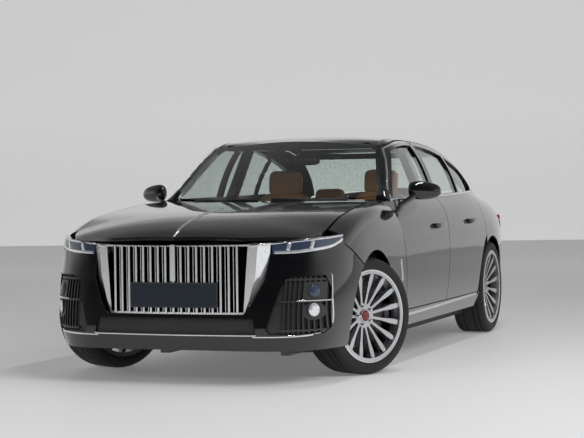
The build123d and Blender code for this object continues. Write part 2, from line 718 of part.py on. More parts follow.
POST_WIDTH = 90.0
SEAL_BREAK = (100.0, 260.0, 80.0)
LID_CORNER_ROOM = (34.0, 18.0, 20.0)
with BuildPart() as centre_post:
    with BuildSketch(Plane.YZ.offset(POST_X - 62 - POST_WIDTH / 2)):
        with BuildLine():
            Polyline((862, SILL_TOP_Z - 40), (876, 600), (876, 760), (800, 985), (752, 1055),
                     (600, 1420), (575, 1440), (545, 1425), (690, 1050), (760, 760),
                     (810, SILL_TOP_Z - 40), close=True)
        make_face()
    extrude(amount=POST_WIDTH)
with BuildPart() as hinge_post:
    with BuildSketch(Plane.XZ.offset(-FOOT_Y[1])):
        with BuildLine():
            Polyline((DOOR_FRONT_X - 90, SILL_TOP_Z - 60), (DOOR_FRONT_X - 90, 985),
                     (DOOR_FRONT_X - 205, 1010), (DOOR_FRONT_X - 205, 1044),
                     (DOOR_FRONT_X - 150, 1040), (DOOR_FRONT_X - 110, COWL_Z),
                     (POST_FACE_X, COWL_Z), (POST_FACE_X, SILL_TOP_Z - 60), close=True)
        make_face()
    extrude(amount=FOOT_Y[1] - FOOT_Y[0])
    with Locations((DOOR_FRONT_X - 62, FOOT_Y[0], SILL_TOP_Z - 60)):
        Box(56, 140, 60, align=(Align.CENTER, Align.MIN, Align.MIN))
    with Locations((POST_FACE_X, FOOT_Y[1], SILL_TOP_Z - 30)):
        Box(64, 100, 560, align=(Align.MAX, Align.MIN, Align.MIN))
    with Locations((POST_FACE_X, FOOT_Y[1], COWL_Z - 10)):
        Box(134, 19, 42, align=(Align.MAX, Align.MAX, Align.MIN))

with BuildPart() as pillar_foot:
    with Locations((DOOR_FRONT_X - 192, 721, 1038)):
        Box(66, 34, 76)
    add(glass_room.part, mode=Mode.SUBTRACT)

# The upright edge of the sill, which the doors' seals close on
with BuildPart() as sill_seal:
    stations = np.linspace(REAR_AXLE_X + 460, DOOR_FRONT_X - 80, 14)
    add(slab(part_way(side_section, 0.05, 0.25), stations, 6, INWARD, 9.0)
        .moved(Location((0, -DOOR_THICKNESS - SEAL, 0))))
    add(prism([(REAR_AXLE_X, SILL_TOP_Z + 24), (REAR_AXLE_X, SILL_TOP_Z - 6),
               (FRONT_AXLE_X, SILL_TOP_Z - 6), (FRONT_AXLE_X, SILL_TOP_Z + 24)]),
        mode=Mode.INTERSECT)
    with Locations((POST_X + 20, SILL_INNER_Y, SILL_TOP_Z)):
        Box(*SEAL_BREAK, mode=Mode.SUBTRACT)

with BuildPart() as side_frame_left:
    add(upper_side.part)
    add(quarter.part)
    add(rocker.part)
    add(centre_post.part)
    add(hinge_post.part)
    add(pillar_foot.part)
    add(sill_seal.part)
    with Locations((LID_FRONT_X + 8, LID_PLAN[0][1], 1023)):
        Box(*LID_CORNER_ROOM, mode=Mode.SUBTRACT)
save(side_frame_left, "side_frame_left")

# Hood, hinged behind its rear corners
HOOD_GAP = 9.0
HOOD_THICKNESS = 20.0
HOOD_CROWN = 2.6
HOOD_CORNER_X = DOOR_FRONT_X - 60
HOOD_LIP_X = NOSE_X - 26


def hood_section(x):
    """The hood at station x, from the right edge to the left."""
    edge_y, edge_z, middle_z = HOOD_Y(x) + 14, HOOD_Z(x), HOOD_CENTRE_Z(x)

    def line(s):
        share = 2 * s - 1
        return x, share * edge_y, middle_z - (middle_z - edge_z) * abs(share) ** HOOD_CROWN

    return line


def hood_outline(grow):
    """The hood's outline from above, grown outwards, as an upright solid."""
    inset = grow - HOOD_GAP
    flank_x = np.linspace(HOOD_CORNER_X, FRONT_AXLE_X + 500, 6)
    with BuildPart() as cutter:
        with BuildSketch(Plane.XY.offset(500)):
            with BuildLine():
                Spline((HOOD_CORNER_X, HOOD_Y(HOOD_CORNER_X) + inset), (HOOD_REAR_X - 34 - grow, 400),
                       (HOOD_REAR_X - grow, 0))
                side = Spline(*[(x, HOOD_Y(x) + inset) for x in flank_x])
                Spline(side @ 1, (FRONT_AXLE_X + 600 + grow, 766), (NOSE_X - 203 + grow, 700),
                       (NOSE_X - 143 + grow, 590), (NOSE_X - 78 + grow, 460),
                       (NOSE_X - 40 + grow, 260), (HOOD_LIP_X + grow, 0))
                mirror(about=Plane.XZ)
            make_face()
        extrude(amount=800)
    return cutter.part


HOOD_AT = np.linspace(HOOD_CORNER_X - 30, NOSE_X - 8, 24)
with BuildPart() as hood:
    add(slab(hood_section, HOOD_AT, 21, (0, 0, -1), HOOD_THICKNESS))
    add(hood_outline(0.0), mode=Mode.INTERSECT)
save(hood, "hood")

# The room above the nose that the hood shuts into, and what may stand below the hood
with BuildPart() as hood_room:
    add(slab(hood_section, HOOD_AT, 21, (0, 0, 1), 300).moved(
        Location((0, 0, -HOOD_THICKNESS - HOOD_GAP))))
    add(hood_outline(HOOD_GAP), mode=Mode.INTERSECT)
with BuildPart() as under_hood:
    add(slab(hood_section, HOOD_AT, 21, (0, 0, -1), 300).moved(
        Location((0, 0, -HOOD_THICKNESS - SEAL))))

# Front fenders
FENDER_NOSE = (
    (DOOR_FRONT_X + SHUT_GAP, 1080), (DOOR_FRONT_X + SHUT_GAP, 823),
    (DOOR_FRONT_X - 44 + SHUT_GAP, 409), (DOOR_FRONT_X - 54 + SHUT_GAP, DOOR_BOTTOM_Z),
    (FRONT_AXLE_X + 200, DOOR_BOTTOM_Z), (FRONT_AXLE_X + 234, 672),
    (FRONT_AXLE_X + 472, 800), (FRONT_AXLE_X + 478, 850), (FRONT_AXLE_X + 520, 1080),
)
BRACKET_Z = 700.0
FENDER_AT = np.linspace(DOOR_FRONT_X - 60, FRONT_AXLE_X + 530, 24)
with BuildPart() as fender_bracket:
    with Locations((POST_FACE_X, FOOT_Y[0] + 10, BRACKET_Z)):
        Box(70, 40, 40, align=(Align.MIN, Align.MIN, Align.MIN))
    with Locations((POST_FACE_X + 44, FOOT_Y[0] + 10, BRACKET_Z)):
        Box(26, 400, 40, align=(Align.MIN, Align.MIN, Align.MIN))
    add(slab(part_way(fender_section, 0.05, 1.0), FENDER_AT, 18, INWARD, 300),
        mode=Mode.INTERSECT)
with BuildPart() as fender_left:
    add(slab(part_way(fender_section, 0.05, 1.0), FENDER_AT, 18, SLANTED, PANEL))
    add(prism(FENDER_NOSE), mode=Mode.INTERSECT)
    add(FRONT_ARCH, mode=Mode.SUBTRACT)
    add(hood_outline(HOOD_GAP), mode=Mode.SUBTRACT)
    add(fender_bracket.part)
save(fender_left, "fender_left")

# Roof, between the ditches beside the roof rails
ROOF_DITCH = 18.5
TRIM_GAP = 6.0
SCREEN_TOP_Y = ROOF_Y(ROOF_CORNER_X) - GLASS_INSET


def roof_section(x):
    """The roof at station x, from the right ditch to the left."""
    edge_y, edge_z = ROOF_Y(x) - ROOF_DITCH, ROOF_Z(x) + 1
    middle_z = HEIGHT - CROWN_DROP(x)

    def line(s):
        share = 2 * s - 1
        return x, share * edge_y, middle_z - (middle_z - edge_z) * abs(share) ** 2.2

    return line


with BuildPart() as roof:
    add(slab(roof_section, np.linspace(ROOF_REAR_X, ROOF_FRONT_X, 18), 17, (0, 0, -1), PANEL))
    with BuildSketch(Plane.XY.offset(1200)):
        with BuildLine():
            front = Spline(*[(mix(ROOF_FRONT_X, ROOF_CORNER_X, v * v) - TRIM_GAP, v * SCREEN_TOP_Y)
                             for v in np.linspace(-1.1, 1.1, 9)])
            Polyline(front @ 0, (-FAR, -640), (-FAR, 640), front @ 1)
        make_face()
    extrude(amount=400, mode=Mode.INTERSECT)
    for x, drop in ((ROOF_CORNER_X - 60, 30), (ROOF_REAR_X + 50, 36)):
        with BuildSketch(Plane.XZ.offset(-520)):
            with Locations((x, HEIGHT - CROWN_DROP(x) - drop - 22)):
                Rectangle(70, 44)
        extrude(amount=1040)
save(roof, "roof")

# Trunk lid, from the rear window's foot over the deck's edge to the bumper
LID_THICKNESS = 26.0
LID_LOW_Z = 764.0
LID_MIDDLE = ((LID_FRONT_X, 0, 1092), (TAIL_X + 468, 0, 1078), (TAIL_X + 190, 0, 1050),
              (TAIL_X + 88, 0, 1026), (TAIL_X + 52, 0, 968), (TAIL_X + 42, 0, 860),
              (TAIL_X + 36, 0, LID_LOW_Z))
LID_EDGE = ((LID_FRONT_X, 706, 1046), (TAIL_X + 468, 676, 994), (TAIL_X + 220, 590, 966),
            (TAIL_X + 142, 548, 930), (TAIL_X + 118, 536, 880), (TAIL_X + 110, 520, 820),
            (TAIL_X + 104, 510, LID_LOW_Z))


def lid_section(s):
    """The trunk lid across the car, a share s of the way back and down."""
    middle, edge = along(LID_MIDDLE)(s), along(LID_EDGE)(s)

    def line(v):
        share = 2 * v - 1
        bow = abs(share) ** 2.4
        return mix(middle[0], edge[0], bow), share * edge[1], mix(middle[2], edge[2], bow)

    return line


with BuildPart() as trunk_lid:
    add(slab(lid_section, np.linspace(0, 1, 22), 17, (1, 0, -1), LID_THICKNESS))
save(trunk_lid, "trunk_lid")

# Inner structure: floor, tunnel, bulkheads, engine bay sides and wheel arches
APRON_Y = (440.0, 470.0)
BEAM_FACE_X = NOSE_X - 132.5
REAR_PANEL_X = TAIL_X + 210.0
FIREWALL_X = (DOOR_FRONT_X - 40, DOOR_FRONT_X - 20)
ARCH_LINER = (ARCH_RADIUS + 3, ARCH_RADIUS + 11)
TOWER_Z = 745.0
TRUNK_FLOOR_Z = 300.0
TRUNK_Y = 640.0
LINER_Y = 870.0
PANEL_CORNER_CUT = (14.0, 14.0, 26.0)


def block(x_from, x_to, y_from, y_to, z_from, z_to):
    """A box between two corners."""
    with Locations(((x_from + x_to) / 2, (y_from + y_to) / 2, (z_from + z_to) / 2)):
        Box(abs(x_to - x_from), abs(y_to - y_from), abs(z_to - z_from))


with BuildPart() as wheel_liners:
    for x, inner_y, floor_z in ((FRONT_AXLE_X, APRON_Y[1] - 5, 340), (REAR_AXLE_X, TRUNK_Y - 5, 340)):
        with BuildSketch(Plane.XZ.offset(-inner_y)):
            with Locations((x, TYRE_RADIUS)):
                Circle(ARCH_LINER[1])
                Circle(ARCH_LINER[0], mode=Mode.SUBTRACT)
            with Locations((x, 0)):
                Rectangle(1000, floor_z * 2, mode=Mode.SUBTRACT)
        extrude(amount=inner_y - LINER_Y)

with BuildPart() as platform_half:
    add(wheel_liners.part)
    block(REAR_AXLE_X + 405, FIREWALL_X[1], 0, SILL_INNER_Y, FLOOR_Z, FLOOR_Z + FLOOR_THICKNESS)
    with BuildSketch(Plane.YZ.offset(REAR_AXLE_X + 405)):
        with BuildLine():
            Polyline((0, FLOOR_Z), (170, FLOOR_Z), (120, 400), (0, 400), close=True)
        make_face()
    extrude(amount=FIREWALL_X[1] - REAR_AXLE_X - 405)
    block(*FIREWALL_X, 0, FOOT_Y[0], FLOOR_Z, COWL_Z)
    block(DOOR_FRONT_X - 180, HOOD_REAR_X - 10, 0, FOOT_Y[0], COWL_Z - 20, COWL_Z)
    block(FIREWALL_X[1], BEAM_FACE_X - 80, *APRON_Y, 300, 850)
    block(FRONT_AXLE_X - 100, FRONT_AXLE_X + 100, APRON_Y[1], 700, TOWER_Z + 14, 850)
    block(BEAM_FACE_X - 90, BEAM_FACE_X - 70, 0, APRON_Y[1], 300, 780)
    block(BEAM_FACE_X - 70, BEAM_FACE_X, 0, 540, 415, 600)
    block(REAR_PANEL_X, REAR_AXLE_X + 405, 0, TRUNK_Y, TRUNK_FLOOR_Z, TRUNK_FLOOR_Z + 40)
    block(REAR_AXLE_X + 385, REAR_AXLE_X + 405, 0, TRUNK_Y, FLOOR_Z, TRUNK_FLOOR_Z + 20)
    block(REAR_PANEL_X, REAR_AXLE_X + 385, TRUNK_Y - 20, TRUNK_Y, TRUNK_FLOOR_Z, 720)
    block(REAR_PANEL_X, REAR_PANEL_X + 20, 0, TRUNK_Y, TRUNK_FLOOR_Z, 720)
    block(REAR_PANEL_X, REAR_PANEL_X + 20, 540, 600, TRUNK_FLOOR_Z, 870)
    block(REAR_PANEL_X - 138, REAR_PANEL_X + 20, 0, 300, 700, LID_LOW_Z - 19)
    block(REAR_AXLE_X + 110, REAR_AXLE_X + 130, 0, TRUNK_Y, TRUNK_FLOOR_Z, 1015)
    block(LID_FRONT_X + 20, REAR_AXLE_X + 130, 0, TRUNK_Y, 1000, 1015)
    with Locations((REAR_AXLE_X, 500, 360)):
        Box(380, 400, 140, mode=Mode.SUBTRACT)
    with Locations((REAR_PANEL_X, TRUNK_Y, TRUNK_FLOOR_Z)):
        Box(*PANEL_CORNER_CUT, mode=Mode.SUBTRACT)
with BuildPart() as hood_stop:
    with BuildSketch(Plane.XY.offset(800)):
        with Locations((FRONT_AXLE_X + 420, 455)):
            Circle(14)
    extrude(amount=300)
    add(under_hood.part, mode=Mode.INTERSECT)
with BuildPart() as platform:
    add(platform_half.part)
    add(hood_stop.part)
    mirror(about=Plane.XZ)
save(platform, "platform")

# Nose: layers of its surface, out of which the bumper, lamps and inserts are cut
NOSE_IN = Vector(-1, -1, 0).normalized()
NOSE_TOP_Z = 880.0
BUMPER_THICKNESS = 22.0
LAMP_THICKNESS = 66.0


def nose_layer(sink, thickness):
    """A layer of the left half of the nose, sunk below its outer face."""
    heights = np.linspace(BUMPER_BOTTOM_Z, NOSE_TOP_Z, 18)
    with BuildPart() as layer:
        add(slab(nose_section, heights, 28, NOSE_IN, thickness)
            .moved(Location(NOSE_IN * sink)))
        with Locations((0, FAR, 0)):
            Box(4 * FAR, 2 * FAR, 4 * FAR, mode=Mode.INTERSECT)
    return layer.part


GRILLE_OUTER = ((552, 816), (534, 610), (474, 478), (418, 408))
GRILLE_INNER = ((446, 803), (436, 640), (426, 500), (418, 414))
LAMP_TOP = ((555, 819), (700, 830), (830, 845), (908, 858))
LAMP_BOTTOM = ((908, 840), (850, 772), (700, 752), (557, 748))
INTAKE = ((575, 300), (555, 330), (640, 610), (700, 628), (838, 628), (862, 560), (858, 330),
          (830, 300))
MESH = ((0, 300), (500, 300), (480, 392), (0, 392))
FRONT_SHUT = ((NOSE_X + 60, 100), (NOSE_X + 60, 900), (FRONT_AXLE_X + 486, 900),
              (FRONT_AXLE_X + 485, 850), (FRONT_AXLE_X + 479, 795), (FRONT_AXLE_X + 236, 664),
              (FRONT_AXLE_X + 236, 100))
NOSE_FROM = FRONT_AXLE_X + 150


def from_front(points):
    """The outline seen from the front, as a solid through the nose."""
    return front_prism(points, NOSE_FROM, NOSE_X + 60)


with BuildPart() as bumper_lug:
    block(BEAM_FACE_X, NOSE_X, 484, 520, 420, 450)
    add(nose_layer(1.0, 260.0), mode=Mode.INTERSECT)
with BuildPart() as front_bumper_half:
    add(nose_layer(0.0, BUMPER_THICKNESS))
    add(prism(FRONT_SHUT), mode=Mode.INTERSECT)
    add(from_front([(-10, 100), (-10, 822), *[(y, z + 4) for y, z in LAMP_TOP], (990, 870),
                    (990, 100)]), mode=Mode.INTERSECT)
    add(from_front([(540, 900), (915, 900), (915, 838), *LAMP_BOTTOM[1:], (540, 745)]),
        mode=Mode.SUBTRACT)
    add(from_front([(-10, 830), (540, 830), *GRILLE_OUTER, (-10, 404)]), mode=Mode.SUBTRACT)
    add(from_front(INTAKE), mode=Mode.SUBTRACT)
    add(from_front([(-10, 300), *MESH[1:3], (-10, 392)]), mode=Mode.SUBTRACT)
    add(hood_room.part, mode=Mode.SUBTRACT)
    add(FRONT_ARCH, mode=Mode.SUBTRACT)
    add(bumper_lug.part)
with BuildPart() as front_bumper:
    add(front_bumper_half.part)
    mirror(about=Plane.XZ)
save(front_bumper, "front_bumper")

# Intake inserts, seated behind the bumper: slats, mesh and the stacked fog lamps
INSERT_LAP = 8.0
SLATS = 9


def grown(points, lap):
    """An outline grown about its middle by about lap."""
    y0 = sum(y for y, _ in points) / len(points)
    z0 = sum(z for _, z in points) / len(points)
    out = []
    for y, z in points:
        reach = hypot(y - y0, z - z0)
        out.append((y + (y - y0) * lap / reach, z + (z - z0) * lap / reach))
    return out


with BuildPart() as intake_insert:
    add(nose_layer(BUMPER_THICKNESS + SEAL, 12.0))
    add(from_front(grown(INTAKE, INSERT_LAP)), mode=Mode.INTERSECT)
with BuildPart() as intake_slats:
    add(nose_layer(6.0, BUMPER_THICKNESS))
    with BuildSketch(Plane.YZ.offset(NOSE_FROM)):
        for k in range(SLATS):
            with Locations((650 + 24 * k, 465)):
                Rectangle(6, 320)
        with Locations((745, 484), (745, 606), (745, 322)):
            Rectangle(250, 12)
        with Locations((792, 540)):
            Rectangle(100, 104)
        with Locations((792, 428)):
            Circle(50)
    extrude(amount=1000, mode=Mode.INTERSECT)
    add(from_front(grown(INTAKE, -4.0)), mode=Mode.INTERSECT)
with BuildPart() as mesh_insert:
    add(nose_layer(BUMPER_THICKNESS + SEAL, 12.0))
    add(from_front([(-1, 294), (508, 294), (488, 398), (-1, 398)]), mode=Mode.INTERSECT)
with BuildPart() as bumper_inserts:
    add([intake_insert.part, intake_slats.part, mesh_insert.part])
    mirror(about=Plane.XZ)
save(bumper_inserts, "bumper_inserts")

# Headlamps
with BuildPart() as headlamp:
    add(nose_layer(3.0, LAMP_THICKNESS))
    add(from_front([*LAMP_TOP, *LAMP_BOTTOM]), mode=Mode.INTERSECT)
    add(prism([(FRONT_AXLE_X + 486, 900), (NOSE_X, 900), (NOSE_X, 600),
               (FRONT_AXLE_X + 486, 600)]), mode=Mode.INTERSECT)
    add(hood_room.part, mode=Mode.SUBTRACT)
with BuildPart() as headlamps:
    add(headlamp.part)
    mirror(about=Plane.XZ)
save(headlamps, "headlamps")

# Radiator grille: a broad frame, upright bars with thin ones between, and a spine
BAR_PITCH = 47.5
BARS_EACH_SIDE = 8
BAR_WIDTH = 12.0
BAR_DEPTH = 35.0
THIN_BAR_WIDTH = 4.0
SPINE_WIDTH = 30.0
GRILLE_BOW = 42.0
GRILLE_BACK = 12.0
SPINE_FOOT_Z = 600.0


def both_sides(points):
    """A closed outline from its left half, from the top down."""
    return [*points, *[(-y, z) for y, z in reversed(points)]]


def grille_x(y):
    """How far forward the grille's bars reach, a distance y from the middle."""
    return NOSE_X - 5 - GRILLE_BOW * (y / 430) ** 2


with BuildPart() as grille:
    for x, outline in ((BEAM_FACE_X, GRILLE_OUTER), (NOSE_X - 2, GRILLE_INNER)):
        with BuildSketch(Plane.YZ.offset(x)):
            with BuildLine():
                Polyline(*both_sides([(y - 2, z - 2) for y, z in outline]), close=True)
            make_face()
    loft(ruled=True)
    with BuildSketch(Plane.YZ.offset(BEAM_FACE_X - 10)):
        with BuildLine():
            Polyline(*both_sides([(y - 8, z) for y, z in ((448, 796), (436, 640), (426, 500),
                                                          (420, 422))]), close=True)
        make_face()
    extrude(amount=400, mode=Mode.SUBTRACT)
    with BuildSketch(Plane.XY.offset(300)):
        with BuildLine():
            bow = Spline(*[(grille_x(y) - 6, y) for y in np.linspace(-600, 600, 9)])
            Polyline(bow @ 1, (BEAM_FACE_X, 600), (BEAM_FACE_X, -600), bow @ 0)
        make_face()
    extrude(amount=700, mode=Mode.INTERSECT)
    block(BEAM_FACE_X, BEAM_FACE_X + GRILLE_BACK, -446, 446, 412, 800)
    for k in range(-BARS_EACH_SIDE, BARS_EACH_SIDE + 1):
        y = k * BAR_PITCH
        front_x = grille_x(y)
        block(front_x - BAR_DEPTH, front_x, y - BAR_WIDTH / 2, y + BAR_WIDTH / 2, 415, 802)
        if k < BARS_EACH_SIDE:
            thin_y = y + BAR_PITCH / 2
            block(front_x - BAR_DEPTH, front_x - 14, thin_y - THIN_BAR_WIDTH / 2,
                  thin_y + THIN_BAR_WIDTH / 2, 415, 802)
    block(BEAM_FACE_X, NOSE_X, -SPINE_WIDTH / 2, SPINE_WIDTH / 2, SPINE_FOOT_Z, 806)
save(grille, "grille")

# Tail lamps, round the corners between the quarters and the lid
LAMP_INNER_Y = 560.0
LAMP_DEPTH = 46.0
TAIL_IN = Vector(1, -0.8, 0).normalized()


def tail_layer(low, high, thickness):
    """A layer of the left half of the tail between two heights."""
    with BuildPart() as layer:
        add(slab(tail_section, np.linspace(low, high, 12), 28, TAIL_IN, thickness))
        with Locations((0, FAR, 0)):
            Box(4 * FAR, 2 * FAR, 4 * FAR, mode=Mode.INTERSECT)
    return layer.part


with BuildPart() as tail_lamp:
    add(tail_layer(LAMP_LOW_Z - 12, LAMP_TOP_Z + 12, LAMP_DEPTH))
    add(front_prism([(LAMP_INNER_Y, LAMP_LOW_Z), (900, LAMP_LOW_Z), (900, LAMP_TOP_Z - 5),
                     (LAMP_INNER_Y, LAMP_TOP_Z - 5)], TAIL_X - 20, TAIL_X + 800),
        mode=Mode.INTERSECT)
    add(prism([(TAIL_X - 60, LAMP_LOW_Z), (LAMP_FRONT_X + 34, LAMP_LOW_Z),
               (LAMP_FRONT_X - 6, LAMP_TOP_Z - 33), (LAMP_FRONT_X - 36, LAMP_TOP_Z - 5),
               (TAIL_X - 60, LAMP_TOP_Z - 5)]), mode=Mode.INTERSECT)
with BuildPart() as tail_lug:
    block(TAIL_X, REAR_PANEL_X, 565, 595, 800, 850)
    add(tail_layer(LAMP_LOW_Z - 12, LAMP_TOP_Z + 12, 400.0), mode=Mode.INTERSECT)
with BuildPart() as tail_lamps:
    add(tail_lamp.part)
    add(tail_lug.part)
    mirror(about=Plane.XZ)
save(tail_lamps, "tail_lamps")

# Rear bumper
with BuildPart() as rear_lug:
    block(TAIL_X, REAR_PANEL_X, 300, 360, 500, 540)
    add(tail_layer(BUMPER_BOTTOM_Z, REAR_BUMPER_TOP_Z, 400.0), mode=Mode.INTERSECT)
with BuildPart() as rear_bumper:
    add(tail_layer(BUMPER_BOTTOM_Z, REAR_BUMPER_TOP_Z, PANEL * 1.5))
    add(prism([(x, z - 5) for x, z in REAR_SHUT[:2]] + [(x - 5, z) for x, z in REAR_SHUT[2:4]]
              + [REAR_SHUT[4]]), mode=Mode.INTERSECT)
    add(REAR_ARCH, mode=Mode.SUBTRACT)
    add(rear_lug.part)
    mirror(about=Plane.XZ)
save(rear_bumper, "rear_bumper")

# Wheels, made about the wheel's centre with the axle along Z and outboard up
HUB_FACE = 62.0
SPINDLE_RADIUS = 24.0
BEARING_FIT = 0.3
DISC_FACE = 5.0
SPINDLE_END = 38.0


def ring(points):
    """A profile of radius and offset turned about the axle."""
    with BuildPart() as turned:
        with BuildSketch(Plane.XZ):
            with BuildLine():
                Polyline(*points, close=True)
            make_face()
        revolve(axis=Axis.Z)
    return turned.part


BEAD_RADIUS = FLANGE_RADIUS - RIM_WALL * 2
SPOKE_SHAPE = ((60, -8), (140, -8), (205, -15), (238, -15), (BEAD_RADIUS - 4, -9),
               (BEAD_RADIUS - 4, 9), (238, 15), (205, 15), (140, 8), (60, 8))
with BuildPart() as tyre:
    half = TYRE_WIDTH / 2
    seat = RIM_WIDTH / 2 - 8
    add(ring([(BEAD_RADIUS + TYRE_FIT, -seat), (BEAD_RADIUS + TYRE_FIT, seat), (300, half),
              (TYRE_RADIUS - 20, half - 4), (TYRE_RADIUS, half - 26), (TYRE_RADIUS, 26 - half),
              (TYRE_RADIUS - 20, 4 - half), (300, -half)]))

with BuildPart() as spokes:
    with BuildSketch(Plane.XY):
        Circle(HUB_RADIUS - 8)
        with PolarLocations(0, SPOKES):
            Polygon(*SPOKE_SHAPE, align=None)
    extrude(amount=140)
    add(ring([(0, HUB_FACE - 34), (80, HUB_FACE - 34), (160, HUB_FACE - 20), (BEAD_RADIUS, 70),
              (BEAD_RADIUS, 108), (160, HUB_FACE + 20), (HUB_RADIUS, HUB_FACE + 2), (0, HUB_FACE)]),
        mode=Mode.INTERSECT)

with BuildPart() as rim:
    seat = RIM_WIDTH / 2
    add(ring([(BEAD_RADIUS - RIM_WALL, -seat - 5), (FLANGE_RADIUS, -seat - 5),
              (FLANGE_RADIUS, -seat - 0.6), (BEAD_RADIUS, -seat + 7.6), (BEAD_RADIUS, seat - 7.6),
              (FLANGE_RADIUS, seat + 0.6), (FLANGE_RADIUS, seat + 5),
              (BEAD_RADIUS - RIM_WALL, seat + 5)]))
    add(spokes.part)
    with BuildSketch(Plane.XY.offset(DISC_FACE)):
        Circle(HUB_RADIUS - 4)
    extrude(amount=HUB_FACE - DISC_FACE)
    with BuildSketch(Plane.XY.offset(DISC_FACE)):
        Circle(DISC_RADIUS)
    extrude(amount=DISC_THICKNESS)
    with BuildSketch(Plane.XY.offset(-30)):
        Circle(HUB_RADIUS - 26)
    extrude(amount=40)
    with BuildSketch(Plane.XY.offset(HUB_FACE - 10)):
        Circle(CAP_RADIUS)
        with PolarLocations(LUG_CIRCLE, LUG_COUNT):
            Circle(10)
    extrude(amount=16)
    with BuildSketch(Plane.XY.offset(-40)):
        Circle(SPINDLE_RADIUS + BEARING_FIT)
    extrude(amount=40 + SPINDLE_END + 2, mode=Mode.SUBTRACT)

# Knuckle about the same centre: spindle, upright, two ball pins and the brake caliper.
# Here X points to the front and Y down, because the axle is along Z.
ARM_REACH = 218.0
ARM_RADIUS = 10.0
PIN_RADIUS = 8.0
PIN_FIT = 0.3
EYE_RADIUS = 16.0
EYE_HEIGHT = 16.0
UPRIGHT_OFFSET = -95.0
with BuildPart() as upright:
    with BuildSketch(Plane.XY.offset(UPRIGHT_OFFSET)):
        Circle(SPINDLE_RADIUS)
    extrude(amount=SPINDLE_END - UPRIGHT_OFFSET)
    with BuildSketch(Plane.XY.offset(UPRIGHT_OFFSET)):
        Circle(70)
        Rectangle(56, 2 * ARM_REACH - 24)
    extrude(amount=20)
    for side in (-1, 1):
        with Locations((0, side * (ARM_REACH - 18), (UPRIGHT_OFFSET + EYE_RADIUS) / 2)):
            Box(40, 12, EYE_RADIUS - UPRIGHT_OFFSET)
        with BuildSketch(Plane.XZ.offset(-side * (ARM_REACH - 24))):
            Circle(PIN_RADIUS)
        extrude(amount=-side * 38)
    with BuildSketch(Plane.XY.offset(DISC_FACE - 34)):
        with BuildLine():
            Polyline((-232, -60), (-110, -50), (-110, 50), (-232, 60), close=True)
        make_face()
    extrude(amount=28)
    with BuildSketch(Plane.XY.offset(DISC_FACE - 34)):
        with BuildLine():
            Polyline((-232, -60), (-193, -55), (-193, 55), (-232, 60), close=True)
        make_face()
    extrude(amount=34 + DISC_THICKNESS + 6)
    with Locations((-120, 0, (UPRIGHT_OFFSET + DISC_FACE - 20) / 2)):
        Box(130, 60, DISC_FACE - 20 - UPRIGHT_OFFSET)


def at_wheel(piece, x, side, turn):
    """A piece made about the wheel's centre, put at one corner of the car and steered."""
    with BuildPart() as placed:
        left = piece.part.moved(Location(Plane(origin=(x, 0, TYRE_RADIUS), x_dir=(1, 0, 0),
                                               z_dir=(0, 1, 0))))
        moved = left.moved(Location((0, WHEEL_Y, 0)))
        if side < 0:
            moved = mirror(moved, about=Plane.XZ, mode=Mode.PRIVATE)
        add(moved.rotate(Axis((x, side * WHEEL_Y, 0), (0, 0, 1)), turn))
    return placed


for side, place in ((1, "left"), (-1, "right")):
    save(at_wheel(tyre, FRONT_AXLE_X, side, -STEER_AT_REST), f"tyre_front_{place}")
    save(at_wheel(rim, FRONT_AXLE_X, side, -STEER_AT_REST), f"rim_front_{place}")
    save(at_wheel(upright, FRONT_AXLE_X, side, -STEER_AT_REST), f"knuckle_{place}")
    save(at_wheel(tyre, REAR_AXLE_X, side, 0.0), f"tyre_rear_{place}")
    save(at_wheel(rim, REAR_AXLE_X, side, 0.0), f"rim_rear_{place}")

# Suspension: subframes with double arms whose eyes hold the knuckles' pins
SUBFRAME_Y = 430.0
SPRING_Y = 570.0
SPRING_RADIUS = 30.0
CARRIER_Y = WHEEL_Y + UPRIGHT_OFFSET


def tube(start, end, radius):
    """A round bar between two points."""
    axis = Vector(*end) - Vector(*start)
    with BuildSketch(Plane(origin=start, z_dir=axis)) as outline:
        Circle(radius)
    extrude(outline.sketch, amount=axis.length)


with BuildPart() as front_corner:
    for level in (-1, 1):
        z = TYRE_RADIUS + level * ARM_REACH
        eye_low = z - EYE_HEIGHT / 2
        for x in (FRONT_AXLE_X - 110, FRONT_AXLE_X + 110):
            inner_y = SUBFRAME_Y - 10 if level < 0 else APRON_Y[1] - 6
            tube((x, inner_y, z), (FRONT_AXLE_X, SPRING_Y, z), ARM_RADIUS)
        tube((FRONT_AXLE_X, SPRING_Y - 8, z), (FRONT_AXLE_X, WHEEL_Y - EYE_RADIUS / 2, z),
             ARM_RADIUS)
        with BuildSketch(Plane.XY.offset(eye_low)):
            with Locations((FRONT_AXLE_X, WHEEL_Y)):
                Circle(EYE_RADIUS)
        extrude(amount=EYE_HEIGHT)
        with BuildSketch(Plane.XY.offset(eye_low - 20)):
            with Locations((FRONT_AXLE_X, WHEEL_Y)):
                Circle(PIN_RADIUS + PIN_FIT)
        extrude(amount=EYE_HEIGHT + 40, mode=Mode.SUBTRACT)
